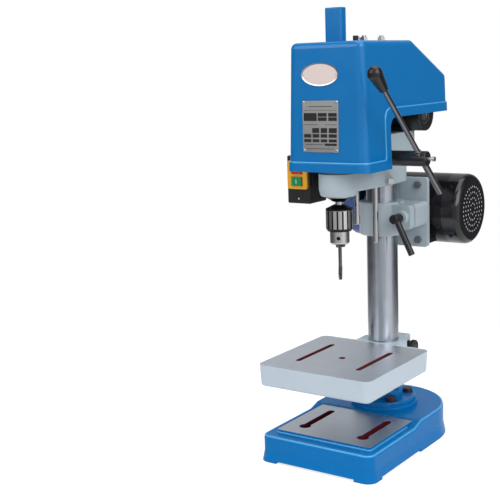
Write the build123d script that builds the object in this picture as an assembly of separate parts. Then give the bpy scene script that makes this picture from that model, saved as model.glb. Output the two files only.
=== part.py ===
from build123d import *
import os
from math import acos, atan2, ceil, cos, hypot, pi, radians, sin, tan

# Bench tapping machine, in millimetres
# The origin is on the column axis at the bench. +Z is up, -Y faces the operator,
# and +X is the operator's right.

# Fits and allowances
overrun = 2.0
seat_gap = 0.3
running_gap = 0.05
fixed_gap = 0.05

# Base
base_width = 233.0
base_front = 266.0
base_corner = 16.0
base_rim = 49.0
base_wall = 11.0
base_plate = 14.0
base_flare = 4.0
base_flare_height = 20.0
base_round = 4.0
foot_height = 4.0
foot_length = 34.0
rear_foot_front = 80.0
deck_rise = 8.0
deck_front = 68.0
deck_ramp = 26.0
pad_width = 198.0
pad_front = 238.0
pad_back = 70.0
pad_rise = 6.0
pad_corner = 5.0
keyhole_x = 62.0
keyhole_front = 198.0
keyhole_back = 96.0
keyhole_width = 14.0
keyhole_entry = 22.0

# Column and its flange
column_diameter = 60.0
column_wall = 6.0
column_cover = 8.0
boss_radius = 66.0
boss_rise = 15.0
boss_round = 3.0
flange_radius = 62.0
flange_thick = 9.0
flange_hub_radius = 37.0
flange_hub_height = 24.0
flange_round = 2.5
flange_bolt_spacing = 68.6
flange_bolt_diameter = 12.0
flange_bolt_reach = 26.0
flange_bolt_flats = 18.0
flange_bolt_head = 8.0

# Work table
table_top = 187.0
table_width = 234.0
table_front = 271.0
table_back = 34.0
table_depth = 41.0
table_corner = 14.0
table_draft = 2.0
table_plate = 15.0
table_wall = 11.0
table_foot_round = 5.0
table_slot_x = 63.5
table_slot_front = 217.0
table_slot_back = 86.0
table_slot_width = 10.5
table_hole_diameter = 13.0
table_boss_radius = 46.0
table_boss_drop = 1.5
table_boss_height = 60.0
table_split = 3.0
table_ear_width = 52.0
table_ear_back = 66.0
table_ear_height = 46.0
table_ear_round = 6.0
table_screw_diameter = 12.0
table_screw_flats = 18.0
table_screw_back = 51.0
table_screw_drop = 24.0
table_handle_hub_radius = 10.0
table_handle_hub_length = 18.0
table_handle_radius = 5.5
table_handle_length = 62.0
table_handle_angle = 215.0

# Spindle line and head casting
spindle_reach = 161.0
head_nose_height = 8.0
head_height = 95.0
head_nose_bottom = 491.0
head_nose_radius = 36.0
head_nose_foot_radius = 33.0
head_half_width = 48.0
head_shoulder = 60.0
head_nose_depth = 33.0
head_tube_radius = 29.0
head_rear_reach = 35.0
head_rear_depth = 48.0
head_round = 4.0
head_floor = 20.0
lock_screw_angle = -51.0
lock_screw_rise = 10.0
lock_screw_radius = 5.0
lock_screw_head = 9.0
lock_boss_radius = 9.0
lock_boss_reach = 84.0
lock_screw_out = 10.0
guide_rod_x = 15.0
guide_rod_front = 52.0
guide_rod_radius = 5.5
guide_rod_length = 111.0
guide_rod_socket = 16.0

# Quill, feed and lever
quill_radius = 25.0
quill_drop = 2.0
quill_length = 117.0
quill_bore_radius = 12.0
quill_travel = 45.0
quill_cap_foot_radius = 12.5
quill_cap_height = 8.0
quill_lower_bearing_radius = 20.0
quill_upper_bearing_radius = 16.0
quill_bearing_height = 12.0
rack_setback = 22.8
gear_module = 2.0
sector_full_count = 50
sector_below_count = 2
rack_below_count = 3
sector_width = 12.0
sector_hub_radius = 14.0
sector_pocket_gap = 1.0
tooth_play = 0.35
pressure_angle = 20.0
addendum_share = 1.0
dedendum_share = 1.25
feed_drop = 40.0
feed_shaft_radius = 8.0
feed_shaft_left = 62.0
feed_bush_radius = 11.0
feed_bush_length = 18.0
feed_boss_radius = 19.0
spring_cup_radius = 30.0
spring_cup_depth = 18.0
spring_cup_wall = 2.5
lever_hub_radius = 13.75
lever_hub_end = 141.0
lever_shaft_end = 112.0
lever_plane = 129.0
lever_rise = 42.5
lever_rod_radius = 4.6
lever_stub_radius = 6.0
lever_stub_upper = 20.0
lever_stub_lower = 103.0
lever_rod_reach = 205.0
lever_knob_start = 189.0
lever_knob_length = 52.0
lever_knob_radius = 13.0
lever_knob_foot_radius = 8.0
lever_screw_radius = 3.0
lever_screw_head_radius = 4.3
lever_screw_head = 5.0
lever_screw_out = 14.0
depth_rod_x = 16.0
depth_rod_setback = 36.5
depth_rod_radius = 4.5
depth_rod_end_radius = 5.6
depth_rod_length = 172.0
depth_rod_end_length = 15.0
depth_arm_height = 7.0
depth_arm_radius = 9.0
depth_nut_radius = 7.5
depth_nut_height = 6.0

# Spindle and chuck
spindle_radius = 8.5
spindle_neck_radius = 7.0
spindle_shank_radius = 7.0
spindle_shank_flats = 10.0
spindle_shank_length = 209.0
spindle_seat = 23.0
spindle_neck_length = 6.0
chuck_cone_height = 7.0
chuck_sleeve_radius = 24.7
chuck_sleeve_length = 41.0
chuck_teeth_height = 5.0
chuck_teeth_count = 30
chuck_teeth_depth = 3.0
chuck_rim = 3.0
chuck_flute_count = 16
chuck_flute_width = 3.2
chuck_flute_depth = 1.6
chuck_core_radius = 16.9
chuck_cavity_radius = 20.5
chuck_land = 4.0
chuck_nose_radius = 17.85
chuck_nose_length = 24.0
chuck_nose_round = 4.0
chuck_key_hole = 7.0
chuck_key_rise = 12.0
chuck_key_turn = -67.0
chuck_throat_radius = 5.0
chuck_throat_depth = 39.0
jaw_count = 3
jaw_radius = 3.7
jaw_slope = 12.0
jaw_out = 6.0
jaw_tip_offset = 5.4
jaw_length = 40.0
jaw_travel = 2.5
jaw_turn = 23.0
tap_out = 67.0
tap_thread_length = 26.0
tap_thread_radius = 4.0
tap_shank_radius = 3.2
tap_length = 92.0
tap_point = 5.0
tap_point_radius = 2.6
tap_flute_radius = 1.7
tap_flute_count = 3

# Motor bracket and motor
ring_radius = 43.5
ring_drop = 37.0
ring_height = 64.0
plate_left = -49.0
plate_right = 72.0
plate_front = 50.0
plate_thick = 10.0
plate_height = 136.0
plate_corner = 6.0
ear_right = 74.0
ear_front = -26.0
ear_split_front = -8.0
ear_split = 3.0
ear_height = 46.0
ear_round = 8.0
stud_x = 57.0
stud_rise = 1.0
stud_radius = 6.0
stud_back = 22.0
ear_boss_radius = 14.0
ear_boss_front = -38.0
bracket_hub_radius = 9.0
bracket_hub_length = 24.0
bracket_handle_radius = 6.0
bracket_handle_length = 74.0
bracket_handle_tilt = 26.0
motor_axis_back = 130.0
motor_drop = 64.0
motor_radius = 69.0
motor_left = -60.0
motor_right = 95.0
motor_pad_left = -47.0
motor_pad_right = 68.0
motor_pad_half_height = 63.0
motor_bolt_x = 8.0
motor_bolt_half_span_x = 45.0
motor_bolt_half_span_z = 54.0
motor_bolt_radius = 4.0
motor_bolt_flats = 13.0
motor_bolt_head = 5.5
motor_bolt_depth = 14.0
shield_left = -80.0
shield_rim = 6.0
shield_boss_radius = 25.0
shield_boss_end = -88.0
cowl_right = 132.0
cowl_wall = 2.0
cowl_round = 14.0
cowl_hole_radius = 2.6
cowl_ring_count = 4
cowl_hole_ring_step = 11.0
cowl_first_ring_count = 8
motor_shaft_radius = 7.0
motor_shaft_left = -119.0
fan_hub_radius = 14.0
fan_radius = 58.0
fan_blade = 3.0
fan_blade_count = 8
fan_left = 101.0
fan_right = 117.0

# Drive from motor to spindle
counter_back = 45.0
pulley_left = -117.0
pulley_right = -93.0
pulley_step_count = 3
motor_pulley_small = 22.0
pulley_step_rise = 8.0
counter_pulley_large = 50.0
belt_width = 6.0
belt_depth = 4.5
countershaft_radius = 10.0
countershaft_left = -119.0
countershaft_right = 70.0
counter_housing_radius = 32.0
counter_housing_left = -48.0
counter_housing_right = 74.0
counter_foot_thick = 9.0
counter_foot_front = 15.0
counter_foot_right = 47.0
counter_end_recess_radius = 22.0
counter_end_recess = 8.0
transfer_left = -71.0
transfer_right = -60.0
transfer_radius = 22.0
guard_left = -124.0
guard_right = -88.0
guard_wall = 2.5
guard_motor_radius = 64.0
guard_counter_radius = 58.0
guard_round = 8.0
guard_shaft_hole = 14.0
friction_rise = 96.0
friction_wheel_radius = 25.0
friction_wheel_left = -24.0
friction_wheel_right = -16.0
friction_shaft_radius = 6.0
friction_disc_radius = 26.0
friction_disc_thick = 11.0
friction_neutral_gap = 1.25
sleeve_radius = 13.0
sleeve_rise = 24.0
sleeve_drop = 10.0
sleeve_bearing_radius = 18.0
sleeve_bearing_height = 12.0
bridge_half_width = 32.0
bridge_front = 22.0
bridge_back = 33.0
bridge_wall = 12.0
bridge_lower_rise = 28.0
bridge_upper_drop = 28.0
bridge_plate = 16.0
bridge_arm_left = -57.0
bridge_arm_width = 10.0
bridge_arm_half_height = 15.0

# Hood, spindle cap and fasteners on top
hood_half_width = 82.0
hood_half_width_top = 75.0
hood_front = 204.0
hood_front_top = 201.0
hood_back = 133.0
hood_back_top = 130.0
hood_skirt_rise = 38.0
hood_notch_height = 91.0
hood_notch = 115.0
hood_notch_round = 20.0
hood_height = 227.0
hood_slope_start = -10.0
hood_slope_drop = 66.5
hood_corner = 15.0
hood_edge = 11.0
hood_wall = 3.0
hood_lip = 2.5
hood_lip_width = 16.0
hood_stud_x = 25.0
hood_stud_front = 105.0
hood_stud_back = 40.0
hood_stud_radius = 4.0
hood_boss_radius = 9.0
hood_nut_flats = 13.0
hood_nut_height = 7.0
hood_stud_out = 3.0
hood_knob_front = 91.0
hood_knob_radius = 5.0
hood_knob_height = 11.0
cap_width = 34.0
cap_depth = 20.0
cap_corner = 4.5
cap_height = 59.0
cap_wall = 2.0
cap_round = 2.0

# Switch
switch_left = -137.0
switch_right = -86.0
switch_front = -122.0
switch_back = -62.0
switch_drop = 33.0
switch_height = 91.0
switch_round = 3.0
bezel_width = 44.0
bezel_height = 54.0
bezel_rise = 55.0
bezel_thick = 5.0
bezel_corner = 5.0
button_width = 23.0
start_button_height = 17.0
stop_button_height = 17.0
start_button_rise = 43.0
stop_button_rise = 66.0
button_out = 3.5
button_depth = 9.0
button_travel = 3.0
button_round = 1.5
switch_bracket_sheet = 3.0
switch_bracket_rise = 34.0
switch_bracket_height = 28.0
switch_bracket_web = 65.0
switch_bracket_foot_end = 34.0
switch_bracket_reach = 116.0

# Heights and reaches that follow from the sizes above
deck_height = base_rim + deck_rise
pad_top = base_rim + pad_rise
boss_top = base_rim + boss_rise
flange_top = boss_top + flange_thick
flange_hub_top = boss_top + flange_hub_height
head_bottom = head_nose_bottom + head_nose_height
head_top = head_bottom + head_height
head_nose_top = head_bottom + head_nose_depth
head_rear_bottom = head_top - head_rear_depth
column_top = head_top - column_cover
lock_screw_height = head_bottom + lock_screw_rise
lock_screw_reach = lock_boss_reach + lock_screw_out
guide_rod_bottom = head_bottom - guide_rod_length
quill_bottom = head_nose_bottom - quill_drop
quill_top = quill_bottom + quill_length
feed_height = head_top - feed_drop
depth_rod_end = quill_top - depth_rod_length
spindle_top = quill_top + spindle_shank_length
chuck_top = quill_bottom - quill_cap_height - spindle_neck_length
spindle_bottom = chuck_top - spindle_seat
chuck_shoulder = chuck_top - chuck_cone_height
chuck_sleeve_bottom = chuck_shoulder - chuck_sleeve_length
chuck_teeth_top = chuck_sleeve_bottom + chuck_teeth_height
chuck_flute_top = chuck_shoulder - chuck_rim
chuck_nose_bottom = chuck_sleeve_bottom - chuck_nose_length
chuck_key_height = chuck_nose_bottom + chuck_key_rise
chuck_throat_top = chuck_nose_bottom + chuck_throat_depth
jaw_tip = chuck_nose_bottom - jaw_out
tap_end = chuck_nose_bottom - tap_out
tap_thread_top = tap_end + tap_thread_length
tap_top = tap_end + tap_length
motor_axis_height = head_bottom - motor_drop
ring_bottom = motor_axis_height - ring_drop
ring_top = ring_bottom + ring_height
plate_bottom = motor_axis_height - plate_height / 2
plate_top = plate_bottom + plate_height
ear_bottom = motor_axis_height - ear_height / 2
ear_top = ear_bottom + ear_height
stud_height = motor_axis_height + stud_rise
counter_height = head_top + counter_housing_radius
counter_foot_top = head_top + counter_foot_thick
friction_height = head_top + friction_rise
hood_bottom = head_bottom + hood_skirt_rise
hood_top = hood_bottom + hood_height
hood_rear_bottom = hood_bottom + hood_notch_height
hood_slope_low = hood_top - hood_slope_drop
cap_top = hood_top + cap_height
sleeve_bottom = head_top + sleeve_rise
sleeve_top = hood_top - sleeve_drop
bridge_lower_bottom = head_top + bridge_lower_rise
bridge_upper_bottom = hood_top - bridge_upper_drop
switch_bottom = head_bottom - switch_drop
switch_top = switch_bottom + switch_height
bezel_centre_height = switch_bottom + bezel_rise
start_button_centre = switch_bottom + start_button_rise
stop_button_centre = switch_bottom + stop_button_rise
switch_bracket_bottom = switch_bottom + switch_bracket_rise
switch_bracket_top = switch_bracket_bottom + switch_bracket_height

UP = (Align.CENTER, Align.CENTER, Align.MIN)


# Plain forms

def upright(radius, bottom, top, x=0, y=0):
    """Round bar standing between two heights."""
    return Pos(x, y, bottom) * Cylinder(radius, top - bottom, align=UP)


def crosswise(radius, left, right, y, z):
    """Round bar lying along X."""
    return Pos(left, y, z) * Rot(0, 90, 0) * Cylinder(radius, right - left, align=UP)


def lengthwise(radius, front, back, x, z):
    """Round bar lying along Y."""
    return Pos(x, front, z) * Rot(-90, 0, 0) * Cylinder(radius, back - front, align=UP)


def block(left, right, front, back, bottom, top):
    """Rectangular block between six planes."""
    size = Box(right - left, back - front, top - bottom, align=UP)
    return Pos((left + right) / 2, (front + back) / 2, bottom) * size


def prism(outline, bottom, top):
    """Flat outline raised between two heights."""
    return extrude(Pos(0, 0, bottom) * outline, top - bottom, dir=(0, 0, 1))


def side_prism(outline, left, right):
    """Outline drawn in Y and Z, raised along X."""
    return extrude(Plane.YZ.offset(left) * outline, right - left, dir=(1, 0, 0))


def hex_bar(flats, bottom, top, x=0, y=0):
    """Six-sided bar standing between two heights."""
    return Pos(x, y, 0) * prism(RegularPolygon(flats / 2, 6, major_radius=False), bottom, top)


def round_rectangle(width, depth, corner, x=0, y=0):
    return Pos(x, y) * RectangleRounded(width, depth, corner)


def hull_of_circles(*circles):
    """Outline pulled tight round circles given as (x, y, radius)."""
    edges = [edge for x, y, radius in circles for edge in (Pos(x, y) * Circle(radius)).edges()]
    return make_hull(edges)


# Round bars on the machine's axes

def on_spindle(radius, bottom, top):
    return upright(radius, bottom, top, 0, quill_line)


def on_table_screw(radius, left, right):
    return crosswise(radius, left, right, table_screw_back, table_screw_height)


def on_stud(radius, front, back):
    return lengthwise(radius, front, back, stud_x, stud_height)


def on_motor(radius, left, right):
    return crosswise(radius, left, right, motor_axis_back, motor_axis_height)


def on_counter(radius, left, right):
    return crosswise(radius, left, right, counter_back, counter_height)


def on_friction(radius, left, right):
    return crosswise(radius, left, right, quill_line, friction_height)


def on_feed(radius, left, right):
    return crosswise(radius, left, right, -feed_front, feed_height)


# Base, flange and column

def base_outline(grow):
    half = base_width / 2 + grow
    front = base_front + grow
    plate = Pos(0, -front / 2) * Rectangle(2 * half, front)
    plate = fillet(plate.vertices().group_by(Axis.Y)[0], base_corner + grow)
    return plate + Circle(half)


def upper_rims(body):
    """Edges around all the faces that look up, taken together."""
    upper = body.faces().filter_by(lambda face: face.normal_at().Z > cos(pi / 4))
    return rims_of(upper)


def rims_of(faces):
    """Edges that only one of the faces has."""
    rims = [edge for face in faces for edge in face.outer_wire().edges()]
    return [edge for edge in rims if sum(edge.is_same(other) for other in rims) == 1]


def flange_bolt_places():
    return GridLocations(flange_bolt_spacing, flange_bolt_spacing, 2, 2)


def base_casting():
    skirt = loft([base_outline(base_flare), Pos(0, 0, base_flare_height) * base_outline(0)], ruled=True)
    body = skirt + prism(base_outline(0), base_flare_height, base_rim)
    ramp_front = -deck_front - deck_ramp
    back = base_width / 2 + overrun
    corners = [(ramp_front, base_flare_height), (ramp_front, base_rim), (-deck_front, deck_height),
               (back, deck_height), (back, base_flare_height)]
    deck = side_prism(make_face(Polyline(*corners, close=True)), -back, back)
    body += deck & prism(base_outline(0), base_flare_height, deck_height)
    body = fillet(upper_rims(body), base_round)
    under_plate = base_rim - base_plate
    pad_area = round_rectangle(pad_width, pad_front - pad_back, pad_corner, 0, -(pad_front + pad_back) / 2)
    body += prism(pad_area, under_plate, pad_top)
    body -= prism(pad_area, pad_top, deck_height + overrun)
    body -= prism(base_outline(-base_wall), -overrun, under_plate)
    boss = upright(boss_radius, 0, boss_top)
    body += fillet(boss.edges().group_by(Axis.Z)[-1], boss_round)
    side = base_width / 2 + base_flare + overrun
    body -= block(-side, side, foot_length - base_front, -rear_foot_front, -overrun, foot_height)
    front_gap = base_width / 2 - foot_length
    front = base_front + base_flare + overrun
    body -= block(-front_gap, front_gap, -front, foot_length - base_front, -overrun, foot_height)
    for x in (-keyhole_x, keyhole_x):
        body -= prism(keyhole_outline(x), under_plate - overrun, pad_top + overrun)
    hole = flange_bolt_diameter / 2 + fixed_gap
    depth = boss_top - flange_bolt_reach
    for place in flange_bolt_places():
        body -= place * upright(hole, depth - overrun, boss_top + overrun)
    return body


def keyhole_outline(x):
    """Slot across the pad that ends in a round entry at the front."""
    half = keyhole_width / 2
    length = keyhole_front - keyhole_back - keyhole_width / 2
    middle = Pos(x, -keyhole_back - half - length / 2)
    slot = middle * SlotCenterToCenter(length, keyhole_width, rotation=90)
    return slot + Pos(x, -keyhole_front) * Circle(keyhole_entry / 2)


def column_flange():
    body = upright(flange_radius, boss_top, flange_top)
    body = fillet(body.edges().group_by(Axis.Z)[-1], flange_round)
    hub = upright(flange_hub_radius, boss_top, flange_hub_top)
    body += fillet(hub.edges().group_by(Axis.Z)[-1], flange_round)
    body -= upright(column_diameter / 2 + fixed_gap, boss_top - overrun, flange_hub_top + overrun)
    hole = flange_bolt_diameter / 2 + fixed_gap
    for place in flange_bolt_places():
        body -= place * upright(hole, boss_top - overrun, flange_top + overrun)
    return body


def flange_bolts():
    bolt = hex_bar(flange_bolt_flats, flange_top, flange_top + flange_bolt_head)
    bolt += upright(flange_bolt_diameter / 2, boss_top - flange_bolt_reach, flange_top)
    return [place * bolt for place in flange_bolt_places()]


def column():
    outer = column_diameter / 2
    bore = upright(outer - column_wall, boss_top - overrun, column_top + overrun)
    return upright(outer, boss_top, column_top) - bore


# Work table and its clamp

table_length = table_front - table_back
table_middle = -(table_front + table_back) / 2
table_boss_top = table_top - table_boss_drop
table_boss_bottom = table_boss_top - table_boss_height
table_ear_bottom = table_boss_top - table_ear_height
table_screw_height = table_boss_top - table_screw_drop


def table_outline(grow):
    corner = table_corner + grow
    return round_rectangle(table_width + 2 * grow, table_length + 2 * grow, corner, 0, table_middle)


def work_table():
    bottom = table_top - table_depth
    lower = Pos(0, 0, bottom) * table_outline(-table_draft)
    body = loft([lower, Pos(0, 0, table_top) * table_outline(0)], ruled=True)
    body = fillet(body.edges().group_by(Axis.Z)[0], table_foot_round)
    body -= prism(table_outline(-table_wall), bottom - overrun, table_top - table_plate)
    neck = Pos(0, -table_back / 2) * Rectangle(2 * table_boss_radius, table_back + 2 * table_wall)
    neck = neck + Circle(table_boss_radius)
    body += prism(neck, table_boss_bottom, table_boss_top)
    front = table_screw_back / 2
    side = table_ear_width / 2
    ears = block(-side, side, front, table_ear_back, table_ear_bottom, table_boss_top)
    body += fillet(ears.edges().filter_by(Axis.X).group_by(Axis.Y)[-1], table_ear_round)
    below = table_boss_bottom - overrun
    above = table_top + overrun
    body -= upright(column_diameter / 2 + running_gap, below, above)
    body -= block(-table_split / 2, table_split / 2, 0, table_ear_back + overrun, below, above)
    ear_end = table_ear_width / 2 + overrun
    hole = table_screw_diameter / 2 + running_gap
    body -= on_table_screw(hole, -ear_end, ear_end)
    slot_length = table_slot_front - table_slot_back - table_slot_width
    slot_middle = -(table_slot_front + table_slot_back) / 2
    for x in (-table_slot_x, table_slot_x):
        slot = Pos(x, slot_middle) * SlotCenterToCenter(slot_length, table_slot_width, rotation=90)
        body -= prism(slot, table_top - table_plate - overrun, above)
    body -= upright(table_hole_diameter / 2, table_top - table_plate - overrun, above, 0, -spindle_reach)
    return body


def table_clamp_screw():
    """Stud with a hexagon head on the left ear."""
    ear = table_ear_width / 2
    head = ear + seat_gap
    end = ear + seat_gap + table_handle_hub_length
    screw = on_table_screw(table_screw_diameter / 2, -head, end)
    hexagon = RegularPolygon(table_screw_flats / 2, 6, major_radius=False)
    place = Pos(table_screw_back, table_screw_height)
    return screw + side_prism(place * hexagon, -head - table_screw_diameter / 2, -head)


def table_clamp_handle():
    start = table_ear_width / 2 + seat_gap
    end = start + table_handle_hub_length
    hub = on_table_screw(table_handle_hub_radius, start, end)
    turn = Pos((start + end) / 2, table_screw_back, table_screw_height) * Rot(table_handle_angle, 0, 0)
    lever = turn * upright(table_handle_radius, 0, table_handle_length)
    lever = fillet(lever.edges().sort_by_distance(turn.position)[-1], table_handle_radius / 2)
    hub = fillet(hub.edges().group_by(Axis.X)[-1], table_handle_hub_radius / 4)
    screw_room = table_screw_diameter / 2 + fixed_gap
    return hub + lever - on_table_screw(screw_room, start - overrun, end)


# Head casting

feed_front = spindle_reach - rack_setback - gear_module * sector_full_count / 2
sector_tip_radius = gear_module * sector_full_count / 2 + gear_module * addendum_share
quill_line = -spindle_reach


def head_outline(nose_radius, rear_reach):
    shoulder = (0, -head_shoulder, head_half_width)
    return hull_of_circles((0, quill_line, nose_radius), shoulder, (0, rear_reach, head_half_width))


def lock_place():
    return Pos(0, 0, lock_screw_height) * Rot(0, 0, lock_screw_angle) * Rot(0, 90, 0)


def head_casting():
    lower = prism(head_outline(head_nose_radius, 0), head_bottom, head_nose_top)
    body = fillet(lower.edges().group_by(Axis.Z)[0], head_round)
    body += prism(head_outline(head_tube_radius, 0), head_nose_top, head_rear_bottom)
    body += prism(head_outline(head_tube_radius, head_rear_reach), head_rear_bottom, head_top)
    nose_height = head_bottom - head_nose_bottom + head_round
    nose = Cone(head_nose_foot_radius, head_nose_radius, nose_height, align=UP)
    nose = fillet(nose.edges().group_by(Axis.Z)[0], head_round)
    body += Pos(0, quill_line, head_nose_bottom) * nose
    body += lock_place() * upright(lock_boss_radius, column_diameter / 2, lock_boss_reach)
    body += on_feed(feed_boss_radius, 0, head_half_width)
    body += on_feed(spring_cup_radius, -head_half_width, 0)
    body -= upright(column_diameter / 2 + fixed_gap, head_nose_bottom - overrun, column_top)
    body -= on_spindle(quill_radius + running_gap, head_nose_bottom - overrun, head_top + overrun)
    pocket_radius = sector_tip_radius + sector_pocket_gap
    half_pocket = sector_width / 2 + sector_pocket_gap
    pocket = on_feed(pocket_radius, -half_pocket, half_pocket)
    hub_room = sector_hub_radius + sector_pocket_gap
    low = head_bottom + head_round
    top = head_top + overrun
    body -= pocket & block(-half_pocket, half_pocket, quill_line, hub_room - feed_front, low, top)
    arm_side = depth_rod_x + depth_arm_radius + sector_pocket_gap
    arm_back = quill_line + depth_rod_setback + depth_arm_radius + sector_pocket_gap
    floor = head_bottom + head_floor
    body -= block(-half_pocket, arm_side, quill_line, arm_back, floor, top)
    rod_hole = depth_rod_end_radius + seat_gap
    rod_y = quill_line + depth_rod_setback
    body -= upright(rod_hole, head_nose_bottom - overrun, floor + overrun, depth_rod_x, rod_y)
    side = head_half_width + overrun
    body -= on_feed(feed_bush_radius + fixed_gap, -side, side)
    body -= lock_place() * upright(lock_screw_radius + fixed_gap, 0, lock_boss_reach + overrun)
    spot_face = hypot(lock_screw_head, lock_screw_head) / 2 + seat_gap
    body -= lock_place() * upright(spot_face, lock_boss_reach, lock_boss_reach + head_half_width)
    socket = head_bottom + guide_rod_socket
    hole = guide_rod_radius + fixed_gap
    body -= upright(hole, head_bottom - overrun, socket, guide_rod_x, -guide_rod_front)
    return body


def head_lock_screw():
    """Square-headed screw that holds the head on the column."""
    start = column_diameter / 2
    screw = upright(lock_screw_radius, start, lock_screw_reach - lock_screw_head)
    square = Rectangle(lock_screw_head, lock_screw_head)
    screw += prism(square, lock_boss_reach + seat_gap, lock_screw_reach)
    return lock_place() * screw


def guide_rod():
    top = head_bottom + guide_rod_socket
    rod = upright(guide_rod_radius, guide_rod_bottom, top, guide_rod_x, -guide_rod_front)
    return chamfer(rod.edges().group_by(Axis.Z)[0], guide_rod_radius / 4)


# Motor bracket and its clamp

motor_bolt_places = [
    (motor_bolt_x + turn_x * motor_bolt_half_span_x, motor_axis_height + turn_z * motor_bolt_half_span_z)
    for turn_x in (-1, 1) for turn_z in (-1, 1)]
plate_back = plate_front + plate_thick


def motor_bracket():
    plate_width = plate_right - plate_left
    face = Pos(0, 0) * RectangleRounded(plate_width, plate_height, plate_corner)
    middle = Pos((plate_left + plate_right) / 2, plate_back, (plate_bottom + plate_top) / 2)
    body = middle * extrude(Plane.XZ * face, plate_thick)
    ring = upright(ring_radius, ring_bottom, ring_top)
    body += fillet(ring.edges(), plate_corner / 2)
    web_bottom = ring_bottom + plate_corner
    body += block(-ring_radius, ring_radius, 0, plate_front, web_bottom, ring_top - plate_corner)
    ear = block(0, ear_right, ear_front, plate_front, ear_bottom, ear_top)
    body += fillet(ear.edges().filter_by(Axis.Y).group_by(Axis.X)[-1], ear_round)
    body += on_stud(ear_boss_radius, ear_boss_front, ear_split_front)
    body -= upright(column_diameter / 2 + fixed_gap, ring_bottom - overrun, ring_top + overrun)
    slot_back = ear_split_front + ear_split
    side = ear_right + overrun
    body -= block(0, side, ear_split_front, slot_back, ring_bottom - overrun, ring_top + overrun)
    body -= on_stud(stud_radius + running_gap, ear_boss_front - overrun, stud_back)
    for x, z in motor_bolt_places:
        body -= lengthwise(motor_bolt_radius + fixed_gap, plate_front - overrun, plate_back + overrun, x, z)
    return body


def bracket_clamp_stud():
    return on_stud(stud_radius, ear_boss_front - bracket_hub_length, stud_back)


def bracket_clamp_handle():
    back = ear_boss_front - seat_gap
    front = back - bracket_hub_length
    hub = on_stud(bracket_hub_radius, front, back)
    turn = Pos(stud_x, (front + back) / 2, stud_height) * Rot(0, 180 - bracket_handle_tilt, 0)
    lever = turn * upright(bracket_handle_radius, 0, bracket_handle_length)
    lever = fillet(lever.edges().sort_by_distance(turn.position)[-1], bracket_handle_radius / 4)
    hub = fillet(hub.edges().group_by(Axis.Y)[0], bracket_hub_radius / 4)
    return hub + lever - on_stud(stud_radius + fixed_gap, front, back + overrun)


# Motor

def motor_frame():
    body = on_motor(motor_radius, motor_left, motor_right)
    low = motor_axis_height - motor_pad_half_height
    high = motor_axis_height + motor_pad_half_height
    body += block(motor_pad_left, motor_pad_right, plate_back, motor_axis_back, low, high)
    shaft_room = motor_shaft_radius + seat_gap
    body -= on_motor(shaft_room, motor_left - overrun, motor_right + overrun)
    for x, z in motor_bolt_places:
        end = plate_back + motor_bolt_depth
        body -= lengthwise(motor_bolt_radius + fixed_gap, plate_back - overrun, end, x, z)
    return body


def motor_bolts():
    bolts = []
    for x, z in motor_bolt_places:
        bolt = lengthwise(motor_bolt_radius, plate_front, plate_back + motor_bolt_depth, x, z)
        hexagon = RegularPolygon(motor_bolt_flats / 2, 6, major_radius=False)
        bolts.append(bolt + Pos(x, plate_front, z) * extrude(Plane.XZ * hexagon, motor_bolt_head))
    return bolts


def motor_end_shield():
    """Drive-end bearing shield with a round boss that carries the belt guard."""
    outer = on_motor(motor_radius, shield_left, motor_left)
    outer = fillet(outer.edges().group_by(Axis.X)[0], shield_rim)
    outer += on_motor(shield_boss_radius, shield_boss_end, shield_left)
    bore = motor_shaft_radius + running_gap
    return outer - on_motor(bore, shield_boss_end - overrun, motor_left + overrun)


def cowl_hole_places():
    """Rings of small air holes on the end of the fan cowl."""
    places = []
    for ring in range(cowl_ring_count):
        radius = (ring + 1) * cowl_hole_ring_step
        count = (ring + 1) * cowl_first_ring_count
        angles = [2 * pi * k / count for k in range(count)]
        places += [(radius * cos(angle), radius * sin(angle)) for angle in angles]
    return places


def fan_cowl():
    body = on_motor(motor_radius, motor_right, cowl_right)
    body = fillet(body.edges().group_by(Axis.X)[-1], cowl_round)
    inner = motor_radius - cowl_wall
    room = on_motor(inner, motor_right - overrun, cowl_right - cowl_wall)
    body -= fillet(room.edges().group_by(Axis.X)[-1], cowl_round - cowl_wall)
    hole = Pos(motor_axis_back, motor_axis_height) * Circle(cowl_hole_radius)
    holes = Sketch() + [Pos(y, z) * hole for y, z in cowl_hole_places()]
    return body - side_prism(holes, cowl_right - cowl_wall - overrun, cowl_right + overrun)


def motor_shaft():
    return on_motor(motor_shaft_radius, motor_shaft_left, fan_right)


def motor_fan():
    hub = on_motor(fan_hub_radius, fan_left, fan_right)
    disc = fan_left + fan_blade
    hub += on_motor(fan_radius, fan_left, disc)
    blade = block(disc, fan_right, -fan_blade / 2, fan_blade / 2, fan_hub_radius / 2, fan_radius)
    for k in range(fan_blade_count):
        hub += Pos(0, motor_axis_back, motor_axis_height) * Rot(360 * k / fan_blade_count, 0, 0) * blade
    bore = motor_shaft_radius + fixed_gap
    return hub - on_motor(bore, fan_left - overrun, fan_right + overrun)


# Belt drive

pulley_step = (pulley_right - pulley_left) / pulley_step_count
belt_left = pulley_left + pulley_step + (pulley_step - belt_width) / 2
belt_right = belt_left + belt_width
motor_belt_radius = motor_pulley_small + pulley_step_rise
counter_belt_radius = counter_pulley_large - pulley_step_rise


def step_pulley(first_radius, rise, bore, y, z):
    """Three steps, each with a groove for the belt."""
    body = None
    for k in range(pulley_step_count):
        left = pulley_left + k * pulley_step
        radius = first_radius + k * rise
        step = crosswise(radius, left, left + pulley_step, y, z)
        groove_left = left + (pulley_step - belt_width) / 2 - seat_gap
        groove = crosswise(radius + overrun, groove_left, groove_left + belt_width + 2 * seat_gap, y, z)
        core = radius - belt_depth
        step -= groove - crosswise(core, left - overrun, left + pulley_step + overrun, y, z)
        body = step if body is None else body + step
    return body - crosswise(bore + fixed_gap, pulley_left - overrun, pulley_right + overrun, y, z)


def motor_pulley():
    return step_pulley(
        motor_pulley_small, pulley_step_rise, motor_shaft_radius, motor_axis_back, motor_axis_height)


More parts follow.
